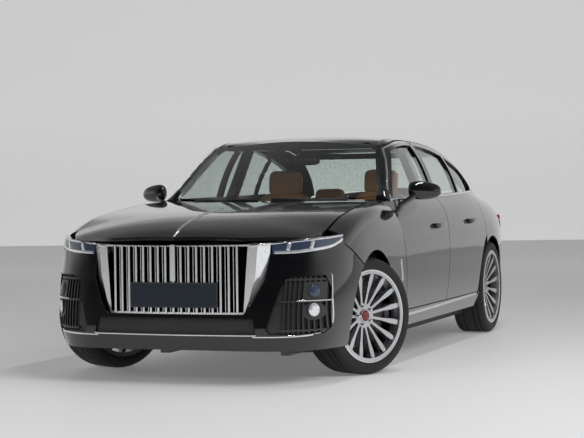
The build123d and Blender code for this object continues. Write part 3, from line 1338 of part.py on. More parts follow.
with BuildPart() as front_subframe_half:
    block(FRONT_AXLE_X - 300, FRONT_AXLE_X + 260, 330, SUBFRAME_Y, 200, 260)
    block(FRONT_AXLE_X - 260, FRONT_AXLE_X - 180, 0, SUBFRAME_Y, 200, 260)
    block(FRONT_AXLE_X + 150, FRONT_AXLE_X + 230, 0, SUBFRAME_Y, 200, 260)
    block(FRONT_AXLE_X - 130, FRONT_AXLE_X + 130, 370, SUBFRAME_Y, 110, 200)
    block(FRONT_AXLE_X - 300, FRONT_AXLE_X - 220, APRON_Y[0], APRON_Y[1], 240, 300)
    block(FRONT_AXLE_X + 180, FRONT_AXLE_X + 260, APRON_Y[0], APRON_Y[1], 240, 300)
    block(FRONT_AXLE_X - 300, FRONT_AXLE_X - 220, SUBFRAME_Y - 20, APRON_Y[1], 240, 260)
    block(FRONT_AXLE_X + 180, FRONT_AXLE_X + 260, SUBFRAME_Y - 20, APRON_Y[1], 240, 260)
with BuildPart() as front_subframe:
    add(front_subframe_half.part)
    mirror(about=Plane.XZ)
save(front_subframe, "front_subframe")
with BuildPart() as arms_half:
    add(front_corner.part)
    with Locations((FRONT_AXLE_X, 0, 0)):
        Box(600, 2 * SUBFRAME_Y, 300, mode=Mode.SUBTRACT)
        with Locations((0, 0, 500)):
            Box(600, 2 * APRON_Y[1], 600, mode=Mode.SUBTRACT)
    block(FRONT_AXLE_X - 30, FRONT_AXLE_X + 30, SPRING_Y - 30, SPRING_Y + 30,
          TYRE_RADIUS - ARM_REACH - ARM_RADIUS, TYRE_RADIUS - ARM_REACH + ARM_RADIUS)
    tube((FRONT_AXLE_X, SPRING_Y, TYRE_RADIUS - ARM_REACH),
         (FRONT_AXLE_X, SPRING_Y, TYRE_RADIUS + ARCH_LINER[0] - SEAL), 14)
    tube((FRONT_AXLE_X, SPRING_Y, 420), (FRONT_AXLE_X, SPRING_Y, TOWER_Z - 10), SPRING_RADIUS)
with BuildPart() as front_arms:
    add(arms_half.part)
    mirror(about=Plane.XZ)
save(front_arms, "front_arms")

with BuildPart() as rear_carrier:
    with BuildSketch(Plane.XY.offset(UPRIGHT_OFFSET)):
        Circle(SPINDLE_RADIUS)
    extrude(amount=SPINDLE_END - UPRIGHT_OFFSET)
    with BuildSketch(Plane.XY.offset(UPRIGHT_OFFSET)):
        Circle(90)
    extrude(amount=20)
with BuildPart() as rear_half:
    add(at_wheel(rear_carrier, REAR_AXLE_X, 1, 0.0).part)
    for z in (TYRE_RADIUS - 60, TYRE_RADIUS + 55):
        for x in (REAR_AXLE_X - 150, REAR_AXLE_X + 150):
            tube((x, SUBFRAME_Y - 10, 250), (mix(REAR_AXLE_X, x, 0.2), CARRIER_Y + 8, z), 12)
    tube((REAR_AXLE_X, 60, 240), (REAR_AXLE_X, CARRIER_Y + 4, TYRE_RADIUS), 18)
    block(REAR_AXLE_X - 240, REAR_AXLE_X + 240, 350, SUBFRAME_Y, 220, TRUNK_FLOOR_Z)
    block(REAR_AXLE_X - 200, REAR_AXLE_X - 130, 0, SUBFRAME_Y, 220, 280)
    block(REAR_AXLE_X + 130, REAR_AXLE_X + 200, 0, SUBFRAME_Y, 220, 280)
    block(REAR_AXLE_X - 140, REAR_AXLE_X + 140, 0, 110, 220, 297)
with BuildPart() as rear_subframe:
    add(rear_half.part)
    mirror(about=Plane.XZ)
save(rear_subframe, "rear_subframe")

# Engine, one plain block, and the exhaust
with BuildPart() as engine:
    block(FRONT_AXLE_X - 420, FRONT_AXLE_X + 300, -250, 250, 260, 800)
    fillet(engine.edges().filter_by(Axis.X), 40)
    block(FRONT_AXLE_X - 380, FRONT_AXLE_X + 240, -200, 200, 780, 880)
save(engine, "engine")
PIPE_RADIUS = 34.0
PIPE_Z = FLOOR_Z - PIPE_RADIUS
with BuildPart() as exhaust:
    tube((FRONT_AXLE_X - 360, 0, PIPE_Z - 4), (REAR_AXLE_X - 500, 0, PIPE_Z - 4), PIPE_RADIUS)
    block(REAR_AXLE_X - 820, REAR_AXLE_X - 480, -420, 420, 150, 290)
    for side in (-1, 1):
        tube((REAR_AXLE_X - 700, side * 360, 250), (TAIL_X + 60, side * 360, 232), 30)
    for x in (-600, 600):
        block(x - 20, x + 20, -20, 20, PIPE_Z, FLOOR_Z)
    block(REAR_AXLE_X - 660, REAR_AXLE_X - 640, -300, 300, 280, TRUNK_FLOOR_Z)
    add([rear_bumper.part, rear_subframe.part], mode=Mode.SUBTRACT)
save(exhaust, "exhaust")

# Dashboard with the steering column's bore
WHEEL_TILT = 25.0
WHEEL_AT = Vector(430, 370, 830)
COLUMN = Vector(cos(radians(WHEEL_TILT)), 0, -sin(radians(WHEEL_TILT)))
COLUMN_RADIUS = 20.0
DASH_Y = 690.0
DASH_X = 650.0
with BuildPart() as dashboard:
    with BuildSketch(Plane.XZ.offset(-DASH_Y)):
        with BuildLine():
            Polyline((FIREWALL_X[0], 620), (FIREWALL_X[0], COWL_Z - 20), (880, COWL_Z - 20), (720, 968),
                     (DASH_X, 925), (DASH_X + 20, 800), (760, 640), close=True)
        make_face()
    extrude(amount=2 * DASH_Y)
    with BuildSketch(Plane.XZ.offset(-(WHEEL_AT.Y + 190))):
        with BuildLine():
            Polyline((700, 950), (640, 975), (700, 1012), (860, 985), close=True)
        make_face()
    extrude(amount=380)
    with BuildSketch(Plane(origin=WHEEL_AT, z_dir=COLUMN)):
        Circle(COLUMN_RADIUS + BEARING_FIT)
    extrude(amount=380, mode=Mode.SUBTRACT)
save(dashboard, "dashboard")
WHEEL_RADIUS = 185.0
with BuildPart() as steering_wheel:
    with BuildSketch(Plane(origin=WHEEL_AT + Vector(0, WHEEL_RADIUS, 0), x_dir=COLUMN,
                         z_dir=COLUMN.cross(Vector(0, 1, 0)))):
        Circle(16)
    revolve(axis=Axis(WHEEL_AT, COLUMN))
    with BuildSketch(Plane(origin=WHEEL_AT - COLUMN * 14, x_dir=(0, 1, 0), z_dir=COLUMN)):
        Circle(62)
        Rectangle(2 * WHEEL_RADIUS, 38)
        with Locations((0, -WHEEL_RADIUS / 2)):
            Rectangle(34, WHEEL_RADIUS)
    extrude(amount=24)
    with BuildSketch(Plane(origin=WHEEL_AT, z_dir=COLUMN)):
        Circle(COLUMN_RADIUS)
    extrude(amount=370)
save(steering_wheel, "steering_wheel")

# Seats, on the floor, and the centre console on the tunnel
SEAT_Y = 370.0
SEAT_WIDTH = 510.0
CABIN_FLOOR_Z = FLOOR_Z + FLOOR_THICKNESS


def side_profile(points, y_from, y_to):
    """A closed side outline extruded across the car."""
    with BuildSketch(Plane.XZ.offset(-y_to)) as outline:
        with BuildLine():
            Polyline(*points, close=True)
        make_face()
    extrude(outline.sketch, amount=y_to - y_from)


with BuildPart() as front_seat:
    side_profile([(370, 400), (376, 470), (350, 515), (60, 500), (-90, 505), (-200, 700),
                  (-262, 1040), (-300, 1085), (-345, 1080), (-340, 1000), (-290, 640), (-215, 400)],
                 SEAT_Y - SEAT_WIDTH / 2, SEAT_Y + SEAT_WIDTH / 2)
    fillet(front_seat.edges().filter_by(Axis.Y), 14)
    side_profile([(-262, 1080), (-268, 1150), (-300, 1250), (-350, 1262), (-372, 1200),
                  (-350, 1110), (-335, 1060)], SEAT_Y - 135, SEAT_Y + 135)
    block(-170, 320, SEAT_Y - 210, SEAT_Y - 170, CABIN_FLOOR_Z, 420)
    block(-170, 320, SEAT_Y + 170, SEAT_Y + 210, CABIN_FLOOR_Z, 420)
with BuildPart() as front_seats:
    add(front_seat.part)
    mirror(about=Plane.XZ)
save(front_seats, "front_seats")
REAR_SEAT_Y = 615.0
with BuildPart() as rear_seat:
    side_profile([(-540, CABIN_FLOOR_Z), (-520, 470), (-560, 535), (-900, 500), (-1010, 505),
                  (-1090, 700), (-1190, 990), (-1249, 998), (-1250, TRUNK_FLOOR_Z + 42),
                  (-970, TRUNK_FLOOR_Z + 42), (-960, CABIN_FLOOR_Z)], -REAR_SEAT_Y, REAR_SEAT_Y)
    for y in (-330, 0, 330):
        side_profile([(-1180, 980), (-1190, 1090), (-1230, 1130), (-1248, 1090), (-1249, 980)],
                     y - 120, y + 120)
    add(platform.part, mode=Mode.SUBTRACT)
save(rear_seat, "rear_seat")
with BuildPart() as centre_console:
    side_profile([(DASH_X + 60, 400), (DASH_X + 30, 700), (430, 640), (300, 560), (-150, 560),
                  (-190, 400)], -110, 110)
    add(dashboard.part, mode=Mode.SUBTRACT)
save(centre_console, "centre_console")

# The right-hand side
for piece, name in ((door_front_left, "door_front"), (door_rear_left, "door_rear"),
                    (glass_front_left, "glass_front"), (glass_rear_left, "glass_rear"),
                    (side_frame_left, "side_frame"), (fender_left, "fender")):
    save(mirrored(piece), f"{name}_right")
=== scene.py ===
import json
import logging
from dataclasses import dataclass, field, replace
from enum import Enum
from math import cos, pi, radians, sin

import bmesh
import bpy
from mathutils import Matrix, Vector
from mathutils.bvhtree import BVHTree


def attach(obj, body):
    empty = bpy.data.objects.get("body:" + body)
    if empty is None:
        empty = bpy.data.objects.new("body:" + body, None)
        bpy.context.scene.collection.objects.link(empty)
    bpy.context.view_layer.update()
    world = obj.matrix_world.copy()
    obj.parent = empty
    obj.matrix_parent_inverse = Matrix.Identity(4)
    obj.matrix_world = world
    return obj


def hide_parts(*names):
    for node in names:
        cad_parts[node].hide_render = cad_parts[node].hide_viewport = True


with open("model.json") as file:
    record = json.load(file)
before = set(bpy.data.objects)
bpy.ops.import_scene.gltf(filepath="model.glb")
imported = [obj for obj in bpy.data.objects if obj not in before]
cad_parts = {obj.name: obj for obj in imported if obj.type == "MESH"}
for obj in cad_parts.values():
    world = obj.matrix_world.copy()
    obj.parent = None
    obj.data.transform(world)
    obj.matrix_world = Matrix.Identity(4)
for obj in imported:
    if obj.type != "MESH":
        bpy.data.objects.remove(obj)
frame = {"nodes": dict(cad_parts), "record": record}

# A long four-door saloon in a pale studio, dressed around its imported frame.
log = logging.getLogger("saloon")
MM = 0.001
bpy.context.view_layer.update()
SIDES = (("left", 1), ("right", -1))
Colour = tuple[float, float, float]
Place = tuple[float, float, float]
Line = tuple[tuple[float, float], ...]
Hit = tuple[Vector, Vector]
Size = tuple[float, float]


class Slot(Enum):
    """Names of some of the record's material slots."""

    CHROME = "chrome"
    LAMP = "lamp"
    TYRE = "tyre"
    LEATHER = "leather"
    PLASTIC = "black_plastic"
    ALLOY = "alloy"


def math_node(nodes: bpy.types.Nodes, operation: str, limit: float | None = None) -> bpy.types.Node:
    """Add a Math node.

    Args:
        nodes: The nodes that it joins.
        operation: What it does.
        limit: Its second value, where nothing is linked to it.

    Returns:
        The node.
    """
    node = nodes.new("ShaderNodeMath")
    node.operation = operation
    if limit is not None:
        node.inputs[1].default_value = limit
    return node


def grain_group() -> bpy.types.NodeTree:
    """Build, once, the group that spreads soft noise between two values.

    Returns:
        The node group, with Scale, Low and High in and Value and Height out.
    """
    name = "Grain"
    if name in bpy.data.node_groups:
        return bpy.data.node_groups[name]
    group = bpy.data.node_groups.new(name, "ShaderNodeTree")
    for label, start in (("Scale", 40.0), ("Low", 0.3), ("High", 0.5)):
        socket = group.interface.new_socket(label, in_out="INPUT", socket_type="NodeSocketFloat")
        socket.default_value = start
    group.interface.new_socket("Value", in_out="OUTPUT", socket_type="NodeSocketFloat")
    group.interface.new_socket("Height", in_out="OUTPUT", socket_type="NodeSocketFloat")
    nodes, links = group.nodes, group.links
    entry, leave = nodes.new("NodeGroupInput"), nodes.new("NodeGroupOutput")
    place = nodes.new("ShaderNodeTexCoord")
    noise = nodes.new("ShaderNodeTexNoise")
    noise.inputs["Detail"].default_value = 3.0
    spread = nodes.new("ShaderNodeMapRange")
    links.new(place.outputs["Object"], noise.inputs["Vector"])
    links.new(entry.outputs["Scale"], noise.inputs["Scale"])
    links.new(noise.outputs["Fac"], spread.inputs["Value"])
    links.new(entry.outputs["Low"], spread.inputs["To Min"])
    links.new(entry.outputs["High"], spread.inputs["To Max"])
    links.new(spread.outputs["Result"], leave.inputs["Value"])
    links.new(noise.outputs["Fac"], leave.inputs["Height"])
    return group


def outboard_group() -> bpy.types.NodeTree:
    """Build, once, the group that tells the outer side of a wheel from its inner side, which takes
    painted shade.

    Returns:
        The node group, with Outward and Edge in and a Mask out, which is 1 outboard of the edge.
    """
    name = "Outboard"
    if name in bpy.data.node_groups:
        return bpy.data.node_groups[name]
    group = bpy.data.node_groups.new(name, "ShaderNodeTree")
    group.interface.new_socket("Outward", in_out="INPUT", socket_type="NodeSocketVector")
    group.interface.new_socket("Edge", in_out="INPUT", socket_type="NodeSocketFloat")
    group.interface.new_socket("Mask", in_out="OUTPUT", socket_type="NodeSocketFloat")
    nodes, links = group.nodes, group.links
    entry, leave = nodes.new("NodeGroupInput"), nodes.new("NodeGroupOutput")
    place = nodes.new("ShaderNodeTexCoord")
    reach = nodes.new("ShaderNodeVectorMath")
    reach.operation = "DOT_PRODUCT"
    mask = math_node(nodes, "GREATER_THAN")
    links.new(place.outputs["Object"], reach.inputs[0])
    links.new(entry.outputs["Outward"], reach.inputs[1])
    links.new(reach.outputs["Value"], mask.inputs[0])
    links.new(entry.outputs["Edge"], mask.inputs[1])
    links.new(mask.outputs["Value"], leave.inputs["Mask"])
    return group


@dataclass(frozen=True)
class PaintedGrilleShade:
    """Where the grille's chrome gives way to painted shade, near black on its gaps and the sides of
    its bars, in metres.
    """

    face_x: float = 2.4495
    half_width: float = 0.437
    facing: float = 0.6
    # The near-black colour of the painted shade.
    colour: Colour = (0.004, 0.004, 0.004)


@dataclass(frozen=True)
class PaintedWheelShade:
    """The plane inboard of which a rim is painted near black as painted shade inside the wheel, in
    metres.
    """

    outward: Place
    edge: float
    colour: Colour = (0.05, 0.05, 0.052)


@dataclass(frozen=True)
class Finish:
    """A surface finish: its base colour, gloss, and the noise that varies them."""

    name: str
    colour: Colour
    roughness: tuple[float, float] = (0.3, 0.4)
    metallic: float = 0.0
    coat: float = 0.0
    transmission: float = 0.0
    ior: float = 1.45
    grain: float = 60.0
    bump: float = 0.0
    glow: float = 0.0
    shade: tuple[float, float] = (0.92, 1.08)
    # Painted shade: dark on the grille's gaps and bar sides and on the rims' inner sides.
    dark: PaintedGrilleShade | PaintedWheelShade | None = None

    def build(self) -> bpy.types.Material:
        """Make the material, or return it where it was made before.

        Returns:
            The finished material.
        """
        if self.name in bpy.data.materials:
            return bpy.data.materials[self.name]
        material = bpy.data.materials.new(self.name)
        material.use_nodes = True
        nodes, links = material.node_tree.nodes, material.node_tree.links
        shader = nodes["Principled BSDF"]
        shader.inputs["Metallic"].default_value = self.metallic
        shader.inputs["Coat Weight"].default_value = self.coat
        shader.inputs["Coat Roughness"].default_value = 0.02
        shader.inputs["Transmission Weight"].default_value = self.transmission
        shader.inputs["IOR"].default_value = self.ior
        grain = nodes.new("ShaderNodeGroup")
        grain.node_tree = grain_group()
        grain.inputs["Scale"].default_value = self.grain
        grain.inputs["Low"].default_value = self.roughness[0]
        grain.inputs["High"].default_value = self.roughness[1]
        links.new(grain.outputs["Value"], shader.inputs["Roughness"])
        ramp = nodes.new("ShaderNodeValToRGB")
        ramp.color_ramp.elements[0].position = 0.3
        ramp.color_ramp.elements[1].position = 0.7
        for element, share in zip(ramp.color_ramp.elements, self.shade):
            element.color = (*(min(c * share, 1.0) for c in self.colour), 1.0)
        links.new(grain.outputs["Height"], ramp.inputs["Fac"])
        colour = ramp.outputs["Color"]
        # Mix in the painted shade where a dark mask is given.
        if self.dark is not None:
            colour = self.with_painted_shade(nodes, links, colour)
        links.new(colour, shader.inputs["Base Color"])
        if self.glow:
            shader.inputs["Emission Color"].default_value = (*self.colour, 1.0)
            shader.inputs["Emission Strength"].default_value = self.glow
        if self.bump:
            bump = nodes.new("ShaderNodeBump")
            bump.inputs["Strength"].default_value = self.bump
            bump.inputs["Distance"].default_value = MM
            links.new(grain.outputs["Height"], bump.inputs["Height"])
            links.new(bump.outputs["Normal"], shader.inputs["Normal"])
        return material

    def with_painted_shade(self, nodes: bpy.types.Nodes, links: bpy.types.NodeLinks,
                 colour: bpy.types.NodeSocket) -> bpy.types.NodeSocket:
        """Keep the colour where the mask is 1, and paint the rest dark as painted shade.

        Args:
            nodes: The material's nodes.
            links: The material's links.
            colour: The bright colour.

        Returns:
            The colour to use.
        """
        if isinstance(self.dark, PaintedWheelShade):
            group = nodes.new("ShaderNodeGroup")
            group.node_tree = outboard_group()
            group.inputs["Outward"].default_value = self.dark.outward
            group.inputs["Edge"].default_value = self.dark.edge
            mask = group.outputs["Mask"]
        else:
            mask = self.grille_mask(nodes, links)
        mixer = nodes.new("ShaderNodeMix")
        mixer.data_type = "RGBA"
        mixer.inputs["A"].default_value = (*self.dark.colour, 1.0)
        links.new(mask, mixer.inputs["Factor"])
        links.new(colour, mixer.inputs["B"])
        return mixer.outputs["Result"]

    def grille_mask(self, nodes: bpy.types.Nodes,
                    links: bpy.types.NodeLinks) -> bpy.types.NodeSocket:
        """Mask the grille's frame and the fronts of its bars, and leave out the gaps and the sides of
        the bars, which take painted shade.

        Args:
            nodes: The material's nodes.
            links: The material's links.

        Returns:
            A socket that is 1 on the bright faces.
        """
        place = nodes.new("ShaderNodeTexCoord")
        split = nodes.new("ShaderNodeSeparateXYZ")
        facing = nodes.new("ShaderNodeSeparateXYZ")
        ahead = math_node(nodes, "GREATER_THAN", self.dark.face_x)
        width = math_node(nodes, "ABSOLUTE")
        aside = math_node(nodes, "GREATER_THAN", self.dark.half_width)
        forward = math_node(nodes, "GREATER_THAN", self.dark.facing)
        front = math_node(nodes, "MULTIPLY")
        mask = math_node(nodes, "MAXIMUM")
        links.new(place.outputs["Object"], split.inputs["Vector"])
        links.new(split.outputs["X"], ahead.inputs[0])
        links.new(split.outputs["Y"], width.inputs[0])
        links.new(width.outputs["Value"], aside.inputs[0])
        links.new(place.outputs["Normal"], facing.inputs["Vector"])
        links.new(facing.outputs["X"], forward.inputs[0])
        links.new(ahead.outputs["Value"], front.inputs[0])
        links.new(forward.outputs["Value"], front.inputs[1])
        links.new(front.outputs["Value"], mask.inputs[0])
        links.new(aside.outputs["Value"], mask.inputs[1])
        return mask.outputs["Value"]


class Look:
    """The finishes of the car and of the studio."""

    paint = Finish("gloss_black_paint", (0.0035, 0.0037, 0.0045), (0.06, 0.09), coat=1.0, grain=30)
    steel = Finish("satin_underbody", (0.02, 0.02, 0.021), (0.5, 0.65), grain=25, bump=0.1)
    chrome = Finish("bright_chrome", (0.82, 0.83, 0.85), (0.05, 0.09), metallic=1.0)
    # The grille's gaps and the sides of its bars are painted near black as painted shade.
    grille = Finish("chrome_grille_painted_shade", (0.9, 0.91, 0.93), (0.16, 0.24), metallic=0.75,
                    dark=PaintedGrilleShade())
    alloy = Finish("silver_alloy", (0.6, 0.61, 0.63), (0.2, 0.28), metallic=0.9, coat=0.5, grain=90)
    disc = Finish("brake_iron", (0.2, 0.2, 0.21), (0.35, 0.5), metallic=1.0, grain=120)
    glass = Finish("tinted_glass", (0.86, 0.93, 0.9), (0.0, 0.01), transmission=1.0, ior=1.5)
    lamp = Finish("lamp_interior", (0.03, 0.045, 0.08), (0.04, 0.1), coat=1.0, grain=200)
    bright = Finish("lamp_reflector", (0.85, 0.87, 0.9), (0.08, 0.15), metallic=0.7, coat=1.0)
    tail = Finish("red_lens", (0.35, 0.004, 0.006), (0.05, 0.1), coat=1.0)
    rubber = Finish("tyre_rubber", (0.018, 0.018, 0.019), (0.55, 0.75), grain=140, bump=0.3)
    leather = Finish("tan_leather", (0.62, 0.27, 0.1), (0.4, 0.52), grain=420, bump=0.35,
                     shade=(0.85, 1.12))
    dash = Finish("soft_dash", (0.012, 0.012, 0.013), (0.5, 0.62), grain=380, bump=0.2)
    plastic = Finish("black_plastic", (0.012, 0.012, 0.013), (0.35, 0.5), grain=220, bump=0.1)
    mesh = Finish("gloss_mesh", (0.06, 0.06, 0.063), (0.2, 0.3), grain=200)
    engine = Finish("cast_alloy", (0.12, 0.12, 0.125), (0.45, 0.6), metallic=0.6, grain=160, bump=0.3)
    plate = Finish("blank_plate", (0.012, 0.017, 0.028), (0.3, 0.4), grain=80)
    mirror = Finish("mirror_glass", (0.9, 0.91, 0.92), (0.0, 0.01), metallic=1.0, grain=20)
    cap = Finish("wheel_cap", (0.16, 0.006, 0.008), (0.15, 0.22), metallic=0.4, coat=1.0)
    floor = Finish("pale_floor", (0.66, 0.66, 0.665), (0.5, 0.56), grain=4, glow=0.22,
                   shade=(1.0, 1.0))
    wall = Finish("pale_wall", (0.8, 0.8, 0.8), (0.6, 0.66), grain=4, glow=0.42,
                  shade=(1.0, 1.0))


SLOT_LOOKS = {
    "paint": Look.paint, "body_steel": Look.steel, "chrome": Look.grille, "glass": Look.glass,
    "lamp": Look.lamp, "tail_lens": Look.tail, "tyre": Look.rubber, "alloy": Look.alloy,
    "steel": Look.disc, "engine": Look.engine, "leather": Look.leather, "dash": Look.dash,
    "black_plastic": Look.plastic, "exhaust_steel": Look.disc,
}


def grid_faces(rows: int, columns: int, start: int = 0, closed: bool = False,
               tube: bool = True) -> list[list[int]]:
    """Join rows of points with faces.

    Args:
        rows: How many rows of faces there are.
        columns: How many points each row of points has.
        start: The number of the first point.
        closed: Whether the last row of faces runs back to the first points.
        tube: Whether the last point of a row is joined to its first.

    Returns:
        The faces, by point numbers.
    """
    faces = []
    for row in range(rows):
        after = (row + 1) % rows if closed else row + 1
        for k in range(columns if tube else columns - 1):
            j = (k + 1) % columns
            faces.append([start + row * columns + k, start + row * columns + j,
                          start + after * columns + j, start + after * columns + k])
    return faces


def slab_faces(count: int) -> list[list[int]]:
    """Join two equal outlines into a closed slab.

    Args:
        count: How many points each outline has.

    Returns:
        The faces, by point numbers.
    """
    return [*grid_faces(1, count), list(range(count)), list(range(count, 2 * count))]


def squared(value: float, power: float) -> float:
    """Square off a circle's sine or cosine, the more the smaller the power is."""
    return abs(value) ** power * (1 if value > 0 else -1)


def make_piece(name: str, verts: list, faces: list, look: Finish, body: str,
               smooth: bool = True) -> bpy.types.Object:
    """Make one mesh piece in metres and let it ride on a body.

    Args:
        name: The piece's name.
        verts: Its points, in metres.
        faces: Its faces, by point numbers.
        look: Its finish.
        body: The body that carries it.
        smooth: Whether its faces are shaded smooth.

    Returns:
        The new object.
    """
    mesh = bpy.data.meshes.new(name)
    mesh.from_pydata([tuple(v) for v in verts], [], faces)
    fixer = bmesh.new()
    fixer.from_mesh(mesh)
    bmesh.ops.recalc_face_normals(fixer, faces=fixer.faces)
    fixer.to_mesh(mesh)
    fixer.free()
    mesh.materials.append(look.build())
    for polygon in mesh.polygons:
        polygon.use_smooth = smooth
    piece = bpy.data.objects.new(name, mesh)
    bpy.context.scene.collection.objects.link(piece)
    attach(piece, body)
    log.info("piece %s on %s", name, body)
    return piece


class Skin:
    """The outer surface of some nodes, for laying trim on.

    Rays start BESIDE, at the END of and at the TOP over the car, in metres. Above and ahead of
    BEHIND_MIRROR's station and height, in millimetres, they start between mirror and door.
    """

    BESIDE = 1.5
    BEHIND_MIRROR = (560.0, 1032.0, 0.872)
    MIDDLE = 0.3
    END = 3.5
    TOP = 1.6
    TAIL = -2.0

    def __init__(self, *names: str) -> None:
        """Read the nodes' meshes.

        Args:
            names: The nodes whose surface is used.
        """
        verts, faces = [], []
        for name in names:
            mesh = frame["nodes"][name].data
            start = len(verts)
            verts += [v.co.copy() for v in mesh.vertices]
            faces += [[start + i for i in p.vertices] for p in mesh.polygons]
        self.tree = BVHTree.FromPolygons(verts, faces)

    def cast(self, start: Vector, way: Vector) -> Hit | None:
        """Find where a ray meets the surface, with the normal towards the ray's start."""
        point, normal, _, _ = self.tree.ray_cast(start, way)
        return None if point is None else (point, normal if normal.dot(way) < 0 else -normal)

    def beside(self, x: float, z: float, side: int) -> Hit | None:
        """Find the surface from the side of the car, or from inside the mirror behind it.

        Args:
            x: The station in millimetres.
            z: The height in millimetres.
            side: 1 on the left and -1 on the right.

        Returns:
            The point and its normal, or None where there is no surface.
        """
        mirror_x, mirror_z, inside = self.BEHIND_MIRROR
        reach = inside if x > mirror_x and z > mirror_z else self.BESIDE
        hit = self.cast(Vector((x * MM, side * reach, z * MM)), Vector((0, -side, 0)))
        return hit if hit and hit[0].y * side >= self.MIDDLE else None

    def ahead(self, y: float, z: float) -> Hit | None:
        """Find the surface from ahead of the car, at y and z in millimetres."""
        return self.cast(Vector((self.END, y * MM, z * MM)), Vector((-1, 0, 0)))

    def behind(self, y: float, z: float) -> Hit | None:
        """Find the tail's surface from behind the car, at y and z in millimetres."""
        hit = self.cast(Vector((-self.END, y * MM, z * MM)), Vector((1, 0, 0)))
        return hit if hit and hit[0].x < self.TAIL else None

    def above(self, x: float, y: float) -> Hit | None:
        """Find the surface from above the car, at x and y in millimetres."""
        return self.cast(Vector((x * MM, y * MM, self.TOP)), Vector((0, 0, -1)))

    def nearest(self, x: float, y: float, z: float) -> Hit:
        """Find the surface nearest to a point given in millimetres."""
        point, normal, _, _ = self.tree.find_nearest(Vector((x, y, z)) * MM)
        return point, normal if normal.z > 0 else -normal

    def drop(self, line: Line, count: int, sign: int = 1, tail: bool = False) -> list[Hit]:
        """Drop a line seen from one end of the car onto the surface.

        Args:
            line: Points across the car and up, on the left.
            count: How many points to use.
            sign: 1 on the left and -1 on the right.
            tail: Whether the line is seen from behind.

        Returns:
            The points on the surface with their normals.
        """
        find = self.behind if tail else self.ahead
        return [hit for y, z in spread(line, count) if (hit := find(sign * y, z))]


def spread(points: tuple[tuple, ...], count: int) -> list[tuple]:
    """Space points evenly along a smooth line through the given ones.

    Args:
        points: The points to pass through.
        count: How many points to return.

    Returns:
        The evenly spaced points.
    """
    steps_between = 12
    ghost = [points[0], *points, points[-1]]
    dense = []
    for i in range(len(points) - 1):
        p0, p1, p2, p3 = ghost[i:i + 4]
        for k in range(steps_between):
            t = k / steps_between
            dense.append(tuple(
                0.5 * (2 * b + (c - a) * t + (2 * a - 5 * b + 4 * c - d) * t * t
                       + (3 * b - a - 3 * c + d) * t ** 3)
                for a, b, c, d in zip(p0, p1, p2, p3)))
    dense.append(tuple(points[-1]))
    steps = [sum((b - a) ** 2 for a, b in zip(p, q)) ** 0.5 for p, q in zip(dense, dense[1:])]
    total = sum(steps)
    out, walked, index = [], 0.0, 0
    for k in range(count):
        goal = total * k / (count - 1)
        while index < len(steps) - 1 and walked + steps[index] < goal:
            walked += steps[index]
            index += 1
        t = (goal - walked) / steps[index] if steps[index] else 0.0
        out.append(tuple(a + (b - a) * t for a, b in zip(dense[index], dense[index + 1])))
    return out


def smoothed(hits: list[Hit], passes: int = 3) -> list[Hit]:
    """Even out a line of surface points and normals, with its ends held.

    Args:
        hits: The points with their normals.
        passes: How often each is averaged with its neighbours.

    Returns:
        The evened points and normals.
    """
    for _ in range(passes):
        middle = []
        for before, here, after in zip(hits, hits[1:], hits[2:]):
            point = (before[0] + here[0] * 2 + after[0]) / 4
            normal = (before[1] + here[1] * 2 + after[1]).normalized()
            middle.append((point, normal))
        hits = [hits[0], *middle, hits[-1]]
    return hits


@dataclass
class Strips:
    """Rounded strips laid along lines on a surface, gathered into one piece."""

    verts: list = field(default_factory=list)
    faces: list = field(default_factory=list)
    shape: Line = ((-0.5, -0.8), (-0.5, 0.35), (-0.38, 0.8), (-0.15, 1.0), (0.15, 1.0),
                   (0.38, 0.8), (0.5, 0.35), (0.5, -0.8))

    def add(self, hits: list[Hit], size: Size) -> None:
        """Lay one strip.

        Args:
            hits: Points on the surface with their normals.
            size: The strip's width and how far it stands proud, in millimetres.
        """
        if len(hits) < 2:
            return
        width, height = size
        ring, start = len(self.shape), len(self.verts)
        for i, (point, normal) in enumerate(hits):
            before, after = hits[max(i - 1, 0)][0], hits[min(i + 1, len(hits) - 1)][0]
            way = (after - before).normalized()
            across = way.cross(normal).normalized()
            up = across.cross(way).normalized()
            if up.dot(normal) < 0:
                up.negate()
            for u, v in self.shape:
                self.verts.append(point + across * (u * width * MM) + up * (v * height * MM))
        self.faces += grid_faces(len(hits) - 1, ring, start)
        last = start + (len(hits) - 1) * ring
        self.faces.append(list(range(start, start + ring)))
        self.faces.append(list(range(last, last + ring)))

    def finish(self, name: str, look: Finish, body: str) -> bpy.types.Object:
        """Turn the strips into a piece and return it."""
        return make_piece(name, self.verts, self.faces, look, body)


def ribbon(name: str, hits: list[Hit], size: Size, look: Finish, body: str) -> bpy.types.Object:
    """Lay one rounded strip along a line on a surface.

    Args:
        name: The piece's name.
        hits: Points on the surface with their normals.
        size: The strip's width and how far it stands proud, in millimetres.
        look: Its finish.
        body: The body that carries it.

    Returns:
        The strip.
    """
    strips = Strips()
    strips.add(hits, size)
    return strips.finish(name, look, body)


@dataclass(frozen=True)
class SoftBox:
    """A flat lamp: where it hangs, what it faces, its size, and whether the paint shows it."""

    name: str
    at: Place
    goal: Place
    size: tuple[float, float]
    power: float
    seen: bool = False


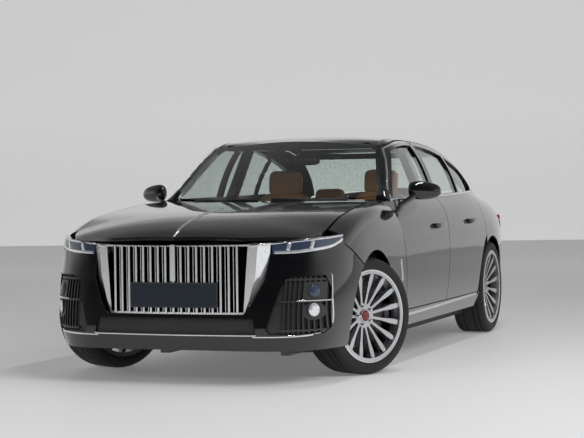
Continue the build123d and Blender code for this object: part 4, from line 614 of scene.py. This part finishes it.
@dataclass
class Studio:
    """The pale floor, the soft lights and the camera at the photograph's angle."""

    eye: Place = (11.105, 3.841, 1.091)
    heading: tuple[float, float] = (-0.9395, -0.3426)
    pitch: float = radians(-0.89)
    roll: float = -0.0116
    lens: float = 101.1
    sensor: float = 36.0
    sight: float = 200.0
    floor_runs: tuple[float, float] = (-24.0, -6.0)
    wall_at: float = 15.0
    wall_curve: float = 2.4
    wall_height: float = 6.6
    wall_from_z: float = 0.35
    curve_steps: int = 12
    half_width: float = 26.0
    strength: float = 0.9
    by_height: Line = ((0.0, 0.95), (0.2, 0.8), (0.45, 0.26), (1.0, 0.16))
    by_length: Line = ((0.0, 1.0), (0.3, 0.9), (0.62, 0.16), (1.0, 0.05))
    boxes: tuple[SoftBox, ...] = (
        SoftBox("key", (5.0, 7.0, 6.0), (0.4, 0.3, 0.5), (6.0, 4.0), 520.0),
        SoftBox("front", (10.0, -3.0, 4.0), (1.6, 0.0, 0.5), (4.0, 2.0), 210.0),
        SoftBox("strip", (1.2, 1.5, 5.0), (1.2, 0.0, 0.0), (3.4, 0.12), 60.0, seen=True))

    def build(self) -> None:
        """Make the floor, the lights, the world and the camera."""
        self.floor()
        self.world()
        self.lights()
        self.camera()
        bpy.context.scene.view_settings.view_transform = "Standard"

    def floor(self) -> None:
        """Make the plain pale floor, which curves up into the backdrop."""
        away = Vector((*self.heading, 0)).normalized()
        across = Vector((-away.y, away.x, 0))
        foot = self.wall_at - self.wall_curve
        line = [(run, 0.0) for run in (*self.floor_runs, foot)]
        for k in range(1, self.curve_steps + 1):
            angle = k / self.curve_steps * pi / 2
            line.append((foot + self.wall_curve * sin(angle), self.wall_curve * (1 - cos(angle))))
        line.append((self.wall_at, self.wall_height))
        verts = [away * run + across * side * self.half_width + Vector((0, 0, z))
                 for run, z in line for side in (-1, 1)]
        mesh = bpy.data.meshes.new("floor")
        mesh.from_pydata([tuple(v) for v in verts], [], grid_faces(len(line) - 1, 2, tube=False))
        for look in (Look.floor, Look.wall):
            mesh.materials.append(look.build())
        for polygon in mesh.polygons:
            polygon.use_smooth = True
            polygon.material_index = int(polygon.center.z > self.wall_from_z)
        floor = bpy.data.objects.new("floor", mesh)
        bpy.context.scene.collection.objects.link(floor)

    def world(self) -> None:
        """Make a world that is pale beside and behind the car and dark ahead and overhead."""
        world = bpy.data.worlds.new("studio")
        bpy.context.scene.world = world
        world.use_nodes = True
        nodes, links = world.node_tree.nodes, world.node_tree.links
        place = nodes.new("ShaderNodeTexCoord")
        split = nodes.new("ShaderNodeSeparateXYZ")
        both = nodes.new("ShaderNodeMix")
        both.data_type = "RGBA"
        both.blend_type = "MULTIPLY"
        both.inputs["Factor"].default_value = 1.0
        links.new(place.outputs["Generated"], split.inputs["Vector"])
        for axis, socket, stops in (("Z", "A", self.by_height), ("X", "B", self.by_length)):
            ramp = nodes.new("ShaderNodeValToRGB")
            elements = ramp.color_ramp.elements
            for number, (at, level) in enumerate(stops):
                element = elements[number] if number < 2 else elements.new(at)
                element.position = at
                element.color = (level, level, level, 1)
            links.new(split.outputs[axis], ramp.inputs["Fac"])
            links.new(ramp.outputs["Color"], both.inputs[socket])
        links.new(both.outputs["Result"], nodes["Background"].inputs["Color"])
        nodes["Background"].inputs["Strength"].default_value = self.strength

    def lights(self) -> None:
        """Hang the soft boxes, of which only the narrow one shows in the paint."""
        for box in self.boxes:
            data = bpy.data.lights.new(box.name, "AREA")
            data.shape = "RECTANGLE"
            data.size, data.size_y = box.size
            data.energy = box.power
            lamp = bpy.data.objects.new(box.name, data)
            lamp.location = box.at
            way = Vector(box.goal) - Vector(box.at)
            lamp.rotation_euler = way.to_track_quat("-Z", "Y").to_euler()
            lamp.visible_glossy = box.seen
            bpy.context.scene.collection.objects.link(lamp)

    def camera(self) -> None:
        """Stand the camera where the photograph was taken."""
        data = bpy.data.cameras.new("camera")
        data.lens = self.lens
        data.sensor_width = self.sensor
        data.clip_end = self.sight
        camera = bpy.data.objects.new("camera", data)
        way = Vector((*self.heading, 0)).normalized() * cos(self.pitch)
        way.z = sin(self.pitch)
        turn = way.to_track_quat("-Z", "Y").to_matrix() @ Matrix.Rotation(self.roll, 3, "Z")
        camera.matrix_world = Matrix.Translation(Vector(self.eye)) @ turn.to_4x4()
        bpy.context.scene.collection.objects.link(camera)
        bpy.context.scene.camera = camera


@dataclass
class BodyTrim:
    """The bright strips along the side windows, the belt, the sill and the fenders."""

    arc: Line = ((890, 1040), (790, 1124), (684, 1214), (578, 1304), (472, 1390), (250, 1431),
                 (-111, 1443), (-552, 1414), (-925, 1353), (-1170, 1296), (-1324, 1220),
                 (-1364, 1140), (-1352, 1094))
    belt: Line = ((880, 1045), (400, 1055), (-250, 1064), (-730, 1075), (-1250, 1091),
                  (-1345, 1094))
    sill: Line = ((1230, 303), (300, 311), (-960, 326))
    blade: Line = ((1172, 668), (1148, 600), (1134, 532))
    door_split: float = -110.0
    gap: float = 9.0
    window_size: Size = (15.0, 3.0)
    sill_size: Size = (20.0, 3.0)
    blade_size: Size = (26.0, 3.0)

    def build(self) -> None:
        """Lay every strip on both sides."""
        for side, sign in SIDES:
            doors = Skin(f"door_front_{side}", f"door_rear_{side}", f"glass_front_{side}",
                         f"glass_rear_{side}")
            for label, line in (("arc", self.arc), ("belt", self.belt)):
                points = spread(line, 90)
                for end, part in (("front", [p for p in points if p[0] > self.door_split + self.gap]),
                                  ("rear", [p for p in points if p[0] < self.door_split - self.gap])):
                    self.lay(f"{label}_{end}_strip_{side}", part, sign, doors,
                             f"door_{end}_{side}", self.window_size)
            self.lay(f"sill_strip_{side}", spread(self.sill, 40), sign,
                     Skin(f"side_frame_{side}"), "body", self.sill_size)
            self.lay(f"fender_blade_strip_{side}", spread(self.blade, 14), sign,
                     Skin(f"fender_{side}"), "body", self.blade_size)

    def lay(self, name: str, points: list[tuple], sign: int, skin: Skin, body: str,
            size: Size) -> None:
        """Lay one strip.

        Args:
            name: The strip's name.
            points: Its points along the car and up.
            sign: 1 on the left and -1 on the right.
            skin: The surface it lies on.
            body: The body that carries it.
            size: Its width and how far it stands proud, in millimetres.
        """
        hits = [hit for x, z in points if (hit := skin.beside(x, z, sign))]
        ribbon(name, hits, size, Look.chrome, body)


@dataclass
class Nose:
    """The bright lines, lamps, mesh and blank plate of the nose."""

    lower_line: Line = ((-500, 297), (-250, 295), (0, 294), (250, 295), (500, 297))
    corner_line: Line = ((480, 289), (640, 290), (780, 296), (835, 316), (860, 352), (867, 410),
                         (866, 520), (860, 632))
    corner_from_x: float = 2.2
    lower_size: Size = (11.0, 4.0)
    corner_size: Size = (12.0, 4.0)
    lamp_top: Line = ((452, 799), (510, 804), (566, 811), (700, 823), (830, 838), (890, 849))
    lamp_low: Line = ((570, 758), (700, 763), (835, 784), (880, 812), (892, 838))
    lamp_bars: tuple[Line, ...] = (((644, 770), (654, 812)), ((764, 778), (774, 824)))
    lamp_top_size: Size = (14.0, 4.0)
    lamp_low_size: Size = (17.0, 3.0)
    lamp_bar_size: Size = (20.0, 3.0)
    mesh_half: float = 545.0
    mesh_z: tuple[float, float] = (312.0, 392.0)
    mesh_step: float = 26.0
    mesh_lean: float = 0.9
    mesh_size: Size = (4.0, 4.0)
    spine_x: tuple[int, int, int] = (1830, 2540, 12)
    spine_size: Size = (15.0, 7.0)
    fog_y: float = 794.0
    fog_bar: Line = ((712, 488), (862, 488))
    fog_bar_size: Size = (10.0, 9.0)
    bezel: float = 9.0
    bezel_rise: float = 3.0
    lens_rise: float = 12.0
    dome_rings: int = 8
    dome_sides: int = 36
    dome_lift: float = 2.0
    plate_half: float = 262.0
    plate_z: tuple[float, float] = (457.0, 583.0)
    plate_x: float = 2569.0
    plate_corner: float = 12.0

    def build(self) -> None:
        """Dress the nose."""
        bumper = Skin("front_bumper", "bumper_inserts")
        lamps = Skin("headlamps")
        front = Skin("headlamps", "front_bumper", "grille")
        ribbon("lower_line", bumper.drop(self.lower_line, 60), self.lower_size, Look.chrome, "body")
        for side, sign in SIDES:
            corner = [hit for hit in bumper.drop(self.corner_line, 90, sign)
                      if hit[0].x > self.corner_from_x]
            ribbon(f"corner_line_{side}", smoothed(corner, 5), self.corner_size, Look.chrome,
                   "body")
            ribbon(f"lamp_top_{side}", smoothed(front.drop(self.lamp_top, 70, sign)),
                   self.lamp_top_size, Look.chrome, "body")
            ribbon(f"lamp_band_{side}", lamps.drop(self.lamp_low, 40, sign), self.lamp_low_size,
                   Look.bright, "body")
            for number, bar in enumerate(self.lamp_bars):
                ribbon(f"lamp_bar_{side}_{number}", lamps.drop(bar, 6, sign),
                       self.lamp_bar_size, Look.bright, "body")
            self.fog_lamps(bumper, side, sign)
        self.mesh(Skin("bumper_inserts"))
        self.spine(Skin("hood"))
        self.plate()

    def mesh(self, skin: Skin) -> None:
        """Lay the diamond mesh across the lower opening.

        Args:
            skin: The surface behind it.
        """
        strips = Strips()
        low, high = self.mesh_z
        lean = (high - low) * self.mesh_lean
        shares = (0.0, 0.25, 0.5, 0.75, 1.0)
        for k in range(-3, int(self.mesh_half * 2 / self.mesh_step) + 1):
            foot = -self.mesh_half + k * self.mesh_step
            for way in (1, -1):
                line = [(foot + lean * (t if way > 0 else 1 - t), low + t * (high - low))
                        for t in shares]
                if max(abs(y) for y, _ in line) < self.mesh_half:
                    strips.add(skin.drop(line, len(shares)), self.mesh_size)
        strips.finish("lower_mesh", Look.mesh, "body")

    def spine(self, skin: Skin) -> None:
        """Lay the bright spine down the middle of the hood."""
        hits = [hit for x in range(*self.spine_x) if (hit := skin.above(x, 0))]
        ribbon("hood_spine", hits, self.spine_size, Look.chrome, "hood")

    def fog_lamps(self, skin: Skin, side: str, sign: int) -> None:
        """Make the stacked lamps in a side intake, and the bar between them.

        Args:
            skin: The surface behind them.
            side: left or right.
            sign: 1 on the left and -1 on the right.
        """
        for label, z, size, look in (("low", 436, 38, Look.bright), ("high", 540, 34, Look.lamp)):
            hit = skin.ahead(sign * self.fog_y, z)
            self.dome(f"fog_bezel_{label}_{side}", hit, size + self.bezel, self.bezel_rise,
                      Look.plastic)
            self.dome(f"fog_lens_{label}_{side}", hit, size, self.lens_rise, look)
        bar = smoothed(skin.drop(self.fog_bar, 16, sign))
        ribbon(f"fog_bar_{side}", bar, self.fog_bar_size, Look.chrome, "body")

    def dome(self, name: str, hit: Hit, size: float, rise: float, look: Finish) -> None:
        """Make a shallow round dome on a surface.

        Args:
            name: The piece's name.
            hit: The point it stands on and the normal there.
            size: Its radius in millimetres.
            rise: Its height in millimetres.
            look: Its finish.
        """
        point, normal = hit
        turn = normal.to_track_quat("Z", "Y").to_matrix()
        verts = []
        for r in range(self.dome_rings + 1):
            slope = r / self.dome_rings * pi / 2
            radius, lift = size * MM * sin(slope), (rise * cos(slope) + self.dome_lift) * MM
            for k in range(self.dome_sides):
                angle = 2 * pi * k / self.dome_sides
                verts.append(point + turn @ Vector((radius * cos(angle), radius * sin(angle), lift)))
        make_piece(name, verts, grid_faces(self.dome_rings, self.dome_sides), look, "body")

    def plate(self) -> None:
        """Make the blank plate and its surround."""
        low, high = self.plate_z
        round_by = self.plate_corner
        for name, grow, back, front, look in (
                ("plate_surround", 9.0, 14.0, 5.0, Look.plastic),
                ("plate", 0.0, 6.0, 3.0, Look.plate)):
            inset = grow - round_by
            y, bottom, top = self.plate_half + inset, low - inset, high + inset
            outline = []
            for quarter, (cy, cz) in enumerate(((-y, bottom), (y, bottom), (y, top), (-y, top))):
                for k in range(6):
                    angle = pi + (quarter + k / 5) * pi / 2
                    outline.append((cy + round_by * cos(angle), cz + round_by * sin(angle)))
            verts = [Vector((self.plate_x - depth, y, z)) * MM for depth in (back, front)
                     for y, z in outline]
            make_piece(name, verts, slab_faces(len(outline)), look, "body",
                       smooth=False)


@dataclass(frozen=True)
class Stance:
    """Where the wheels stand, in millimetres, and how the front ones are steered at rest."""

    axle_x: tuple[float, float] = (1678.5, -1381.5)
    track_half: float = 815.0
    hub_z: float = 352.0
    steer: float = radians(-26.3)

    def corners(self) -> list[tuple[str, int, Matrix]]:
        """List the wheels.

        Returns:
            Each wheel's corner of the car, its side as 1 or -1, and the matrix that takes a
            point from its hub, with Y along the axle, to the car.
        """
        wheels = []
        for end, x, steer in zip(("front", "rear"), self.axle_x, (self.steer, 0.0)):
            for side, sign in SIDES:
                hub = Matrix.Translation(Vector((x, sign * self.track_half, self.hub_z)) * MM)
                wheels.append((f"{end}_{side}", sign, hub @ Matrix.Rotation(steer, 4, "Z")))
        return wheels


@dataclass
class Tyre:
    """A tyre with grooves round its tread and notched shoulders."""

    radius: float = 352.0
    wall: Line = ((104, 262.5), (112, 276), (119, 290), (122, 306), (121, 322), (117, 334),
                  (110, 343), (100, 348), (90, 351))
    grooves: tuple[float, ...] = (78.0, 38.0)
    groove_depth: float = 8.0
    shoulder: float = 88.0
    shoulder_radius: float = 340.0
    notch: float = 4.0
    steps: int = 160
    sharp: float = radians(35)

    def profile(self) -> list[tuple[float, float]]:
        """Draw the section.

        Returns:
            Its points, as offset across and radius, in millimetres.
        """
        half = list(self.wall)
        for groove in self.grooves:
            half += [(groove + 5, self.radius - 1), (groove + 4, self.radius - self.groove_depth),
                     (groove - 4, self.radius - self.groove_depth), (groove - 5, self.radius)]
        return half + [(-w, r) for w, r in reversed(half)]

    def build(self) -> None:
        """Make the four tyres."""
        section = self.profile()
        faces = grid_faces(self.steps, len(section), closed=True)
        for corner, sign, place in Stance().corners():
            verts = []
            for k in range(self.steps):
                angle = 2 * pi * k / self.steps
                for w, r in section:
                    if abs(w) > self.shoulder and r > self.shoulder_radius and k % 2:
                        r -= self.notch
                    verts.append(place @ (Vector((r * cos(angle), w * sign, r * sin(angle))) * MM))
            piece = make_piece(f"tyre_tread_{corner}", verts, faces, Look.rubber,
                               f"wheel_{corner}")
            piece.data.set_sharp_from_angle(angle=self.sharp)
            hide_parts(f"tyre_{corner}")


@dataclass
class WheelDress:
    """The cap, the nuts and the bright lip of each wheel."""

    cap: Line = ((0, 76), (24, 75), (33, 72), (35, 66))
    cap_ring: Line = ((33, 70), (36, 74), (39, 70), (39, 64))
    lip: Line = ((268, 116), (273, 120), (279, 119.5), (281, 114))
    turned_steps: int = 96
    nuts: int = 5
    nut_circle: float = 56.0
    nut_levels: Line = ((10, 64), (10, 76), (7, 79))
    # How far outboard of the hub's centre, in millimetres, the rim's painted shade begins.
    disc_edge: float = 44.0

    def build(self) -> None:
        """Dress the four wheels."""
        for corner, sign, place in Stance().corners():
            axle = place @ Matrix.Rotation(-sign * pi / 2, 4, "X")
            for label, profile, look in (("wheel_cap", self.cap, Look.cap),
                                         ("cap_ring", self.cap_ring, Look.chrome),
                                         ("rim_lip", self.lip, Look.chrome)):
                self.turned(f"{label}_{corner}", axle, f"wheel_{corner}", look, profile)
            self.nut_set(f"wheel_nuts_{corner}", axle, f"wheel_{corner}")

    def turned(self, name: str, place: Matrix, body: str, look: Finish, profile: Line) -> None:
        """Make a piece turned about the axle.

        Args:
            name: The piece's name.
            place: Where the wheel stands, with the axle along Z.
            body: The wheel's body.
            look: Its finish.
            profile: Its radius and offset, in millimetres.
        """
        verts = []
        for k in range(self.turned_steps):
            angle = 2 * pi * k / self.turned_steps
            verts += [place @ (Vector((radius * cos(angle), radius * sin(angle), offset)) * MM)
                      for radius, offset in profile]
        faces = grid_faces(self.turned_steps, len(profile), closed=True, tube=False)
        make_piece(name, verts, faces, look, body)

    def nut_set(self, name: str, place: Matrix, body: str) -> None:
        """Make the wheel nuts.

        Args:
            name: The piece's name.
            place: Where the wheel stands, with the axle along Z.
            body: The wheel's body.
        """
        verts, faces = [], []
        for n in range(self.nuts):
            around = 2 * pi * n / self.nuts
            middle = Vector((cos(around), sin(around), 0)) * self.nut_circle
            start = len(verts)
            for size, offset in self.nut_levels:
                for k in range(6):
                    corner = Vector((size * cos(pi / 3 * k), size * sin(pi / 3 * k), offset))
                    verts.append(place @ ((middle + corner) * MM))
            faces += grid_faces(2, 6, start)
            faces.append([start + 12 + k for k in range(6)])
        make_piece(name, verts, faces, Look.chrome, body, smooth=False)

    def rim_finish(self, corner: str) -> Finish:
        """Return a rim's finish, with painted shade from its brake disc inwards.

        Args:
            corner: The wheel's corner of the car.

        Returns:
            The finish.
        """
        sign, place = next((sign, place) for at, sign, place in Stance().corners() if at == corner)
        outward = place.to_3x3() @ Vector((0, sign, 0))
        edge = outward.dot(place.translation) + self.disc_edge * MM
        # Inboard of the disc edge the rim is painted near black as painted shade inside the wheel.
        return replace(Look.alloy, name=f"rim_{corner}_alloy", dark=PaintedWheelShade(tuple(outward), edge))


@dataclass
class Seats:
    """The leather seats: crowned pads with sewn channels."""

    seat_y: float = 370.0
    bolster_y: float = 215.0
    rear_y: float = 310.0
    rear_head_y: float = 330.0
    rows: int = 28
    columns: int = 40
    squareness: float = 0.42
    seam_depth: float = 0.05
    seam_share: float = 9.0
    thin: float = 100.0
    fill: float = 0.85

    def build(self) -> None:
        """Make the front and rear seats."""
        for side, sign in SIDES:
            y, rear_y = sign * self.seat_y, sign * self.rear_y
            front = [
                self.pad(f"front_cushion_{side}", (85, y, 458), (285, 200, 62), -4, 5),
                self.pad(f"front_back_{side}", (-262, y, 800), (72, 205, 300), 12, 5),
                self.pad(f"front_headrest_{side}", (-318, y, 1165), (44, 125, 92), 8, 1),
            ]
            front += [self.pad(f"front_bolster_{side}_{edge + 1}",
                               (-240, y + edge * self.bolster_y, 760), (80, 42, 250), 12, 1)
                      for edge in (-1, 1)]
            rear = [
                self.pad(f"rear_cushion_{side}", (-770, rear_y, 450), (235, 300, 72), -3, 5),
                self.pad(f"rear_back_{side}", (-1110, rear_y, 760), (72, 300, 255), 16, 5),
                self.pad(f"rear_headrest_{side}", (-1214, sign * self.rear_head_y, 1050),
                         (32, 118, 72), 10, 1),
            ]
            for node, pads in (("front_seats", front), ("rear_seat", rear)):
                for pad in pads:
                    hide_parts(node)

    def pad(self, name: str, centre: Place, half: Place, lean: float,
            channels: int) -> bpy.types.Object:
        """Make one crowned pad.

        Args:
            name: The piece's name.
            centre: Its middle, in millimetres.
            half: Half its size along the car, across and up, in millimetres.
            lean: How far it leans back, in degrees.
            channels: How many sewn rows cross it.

        Returns:
            The pad.
        """
        turn = Matrix.Rotation(radians(-lean), 3, "Y")
        verts = []
        for i in range(self.rows + 1):
            lift = -pi / 2 + pi * i / self.rows
            ring, up = squared(cos(lift), self.squareness), squared(sin(lift), self.squareness)
            for k in range(self.columns):
                angle = 2 * pi * k / self.columns
                along = ring * squared(cos(angle), self.squareness)
                across = ring * squared(sin(angle), self.squareness)
                sewn = 1.0
                if channels > 1:
                    phase = (across * 0.5 + 0.5) * channels
                    seam = max(0.0, 1 - abs(phase - round(phase)) * self.seam_share)
                    sewn = 1 - self.seam_depth * seam
                point = Vector((along * half[0] * sewn, across * half[1],
                                up * half[2] * (sewn if half[2] < self.thin else 1)))
                verts.append((Vector(centre) + turn @ point) * MM)
        piece = make_piece(name, verts, grid_faces(self.rows, self.columns), Look.leather, "body")
        return piece


@dataclass
class Mirrors:
    """The glass in the back of each door mirror."""

    middle: Place = (659.0, 962.0, 1102.0)
    half: tuple[float, float] = (72.0, 45.0)
    sweep: float = 0.36
    steps: int = 48
    rings: Line = ((0.0, 1.2), (0.9, 1.2), (1.0, -1.5))

    def build(self) -> None:
        """Set both glasses."""
        along = Vector((-self.sweep, 1, 0)).normalized()
        out = Vector((-1, -self.sweep, 0)).normalized()
        for side, sign in SIDES:
            verts = []
            for share, lift in self.rings:
                for k in range(self.steps):
                    angle = 2 * pi * k / self.steps
                    point = (Vector(self.middle) + out * lift
                             + along * (self.half[0] * share * cos(angle)))
                    point.z += self.half[1] * share * sin(angle)
                    verts.append(Vector((point.x, point.y * sign, point.z)) * MM)
            make_piece(f"mirror_glass_{side}", verts, grid_faces(2, self.steps), Look.mirror,
                       f"door_front_{side}")


@dataclass
class Glazing:
    """The wipers at the windscreen's foot and the mirror behind the screen."""

    wipers: tuple[tuple[Place, Place], ...] = (
        ((1030, 560, 960), (1075, 60, 985)), ((1085, -20, 975), (1030, -540, 980)))
    wiper_size: Size = (9.0, 11.0)
    mirror_x: tuple[float, float] = (321.0, 339.0)
    mirror_z: float = 1318.0
    mirror_half: tuple[float, float] = (120.0, 34.0)
    mirror_sides: int = 24
    squareness: float = 0.55

    def build(self) -> None:
        """Lay the wipers and hang the inside mirror."""
        screen = Skin("windscreen")
        for number, ends in enumerate(self.wipers):
            hits = smoothed([screen.nearest(*point) for point in spread(ends, 30)])
            ribbon(f"wiper_blade_{number}", hits, self.wiper_size, Look.plastic, "body")
        wide, high = self.mirror_half
        verts = []
        for x in self.mirror_x:
            for k in range(self.mirror_sides):
                angle = 2 * pi * k / self.mirror_sides
                verts.append(Vector((x, wide * squared(cos(angle), self.squareness),
                                     self.mirror_z + high * squared(sin(angle), self.squareness)))
                             * MM)
        make_piece("inside_mirror", verts, slab_faces(self.mirror_sides), Look.plastic, "body")


@dataclass
class Tail:
    """The bright lines of the tail and its blank plate."""

    lamp_line: Line = ((600, 838), (700, 842), (790, 848))
    low_line: Line = ((-560, 330), (0, 326), (560, 330))
    lid_line: Line = ((-500, 850), (0, 853), (500, 850))
    lamp_size: Size = (8.0, 3.0)
    line_size: Size = (12.0, 4.0)
    plate_half: float = 262.0
    plate_z: tuple[float, float] = (560.0, 686.0)
    plate_depths: tuple[float, float] = (6.0, -4.0)

    def build(self) -> None:
        """Dress the tail."""
        lamps, rear = Skin("tail_lamps"), Skin("rear_bumper")
        for side, sign in SIDES:
            hits = lamps.drop(self.lamp_line, 40, sign, tail=True)
            ribbon(f"tail_line_{side}", smoothed(hits), self.lamp_size, Look.chrome, "body")
        for name, skin, line, body in (
                ("tail_lower_line", rear, self.low_line, "body"),
                ("lid_line", Skin("trunk_lid"), self.lid_line, "trunk_lid")):
            hits = smoothed(skin.drop(line, 60, tail=True))
            ribbon(name, hits, self.line_size, Look.chrome, body)
        self.plate(rear)

    def plate(self, skin: Skin) -> None:
        """Set the blank plate on the bumper.

        Args:
            skin: The bumper's surface.
        """
        half, (low, high) = self.plate_half, self.plate_z
        edge = skin.drop(((half, low), (half, high)), 2, tail=True)
        x = min(point.x for point, _ in edge) / MM
        verts = [Vector((x + depth, y, z)) * MM for depth in self.plate_depths
                 for y, z in ((-half, low), (half, low), (half, high), (-half, high))]
        make_piece("rear_plate", verts, slab_faces(4), Look.plate, "body",
                   smooth=False)


def dress_nodes() -> None:
    """Give every node of the frame the finish of its slot."""
    slots = {part["node"]: part["material_slot"] for part in frame["record"]["subparts"]}
    for name, node in frame["nodes"].items():
        if name.startswith("rim_"):
            material = WheelDress().rim_finish(name.removeprefix("rim_")).build()
        else:
            material = SLOT_LOOKS[slots[name]].build()
        node.data.materials.clear()
        node.data.materials.append(material)
        log.info("node %s in %s", name, material.name)


def main() -> None:
    """Build the studio and the car's dress."""
    logging.basicConfig(level=logging.INFO, format="%(message)s")
    Studio().build()
    dress_nodes()
    for part in (BodyTrim, Nose, Tyre, WheelDress, Mirrors, Glazing, Tail, Seats):
        part().build()


if __name__ == "__main__":
    main()
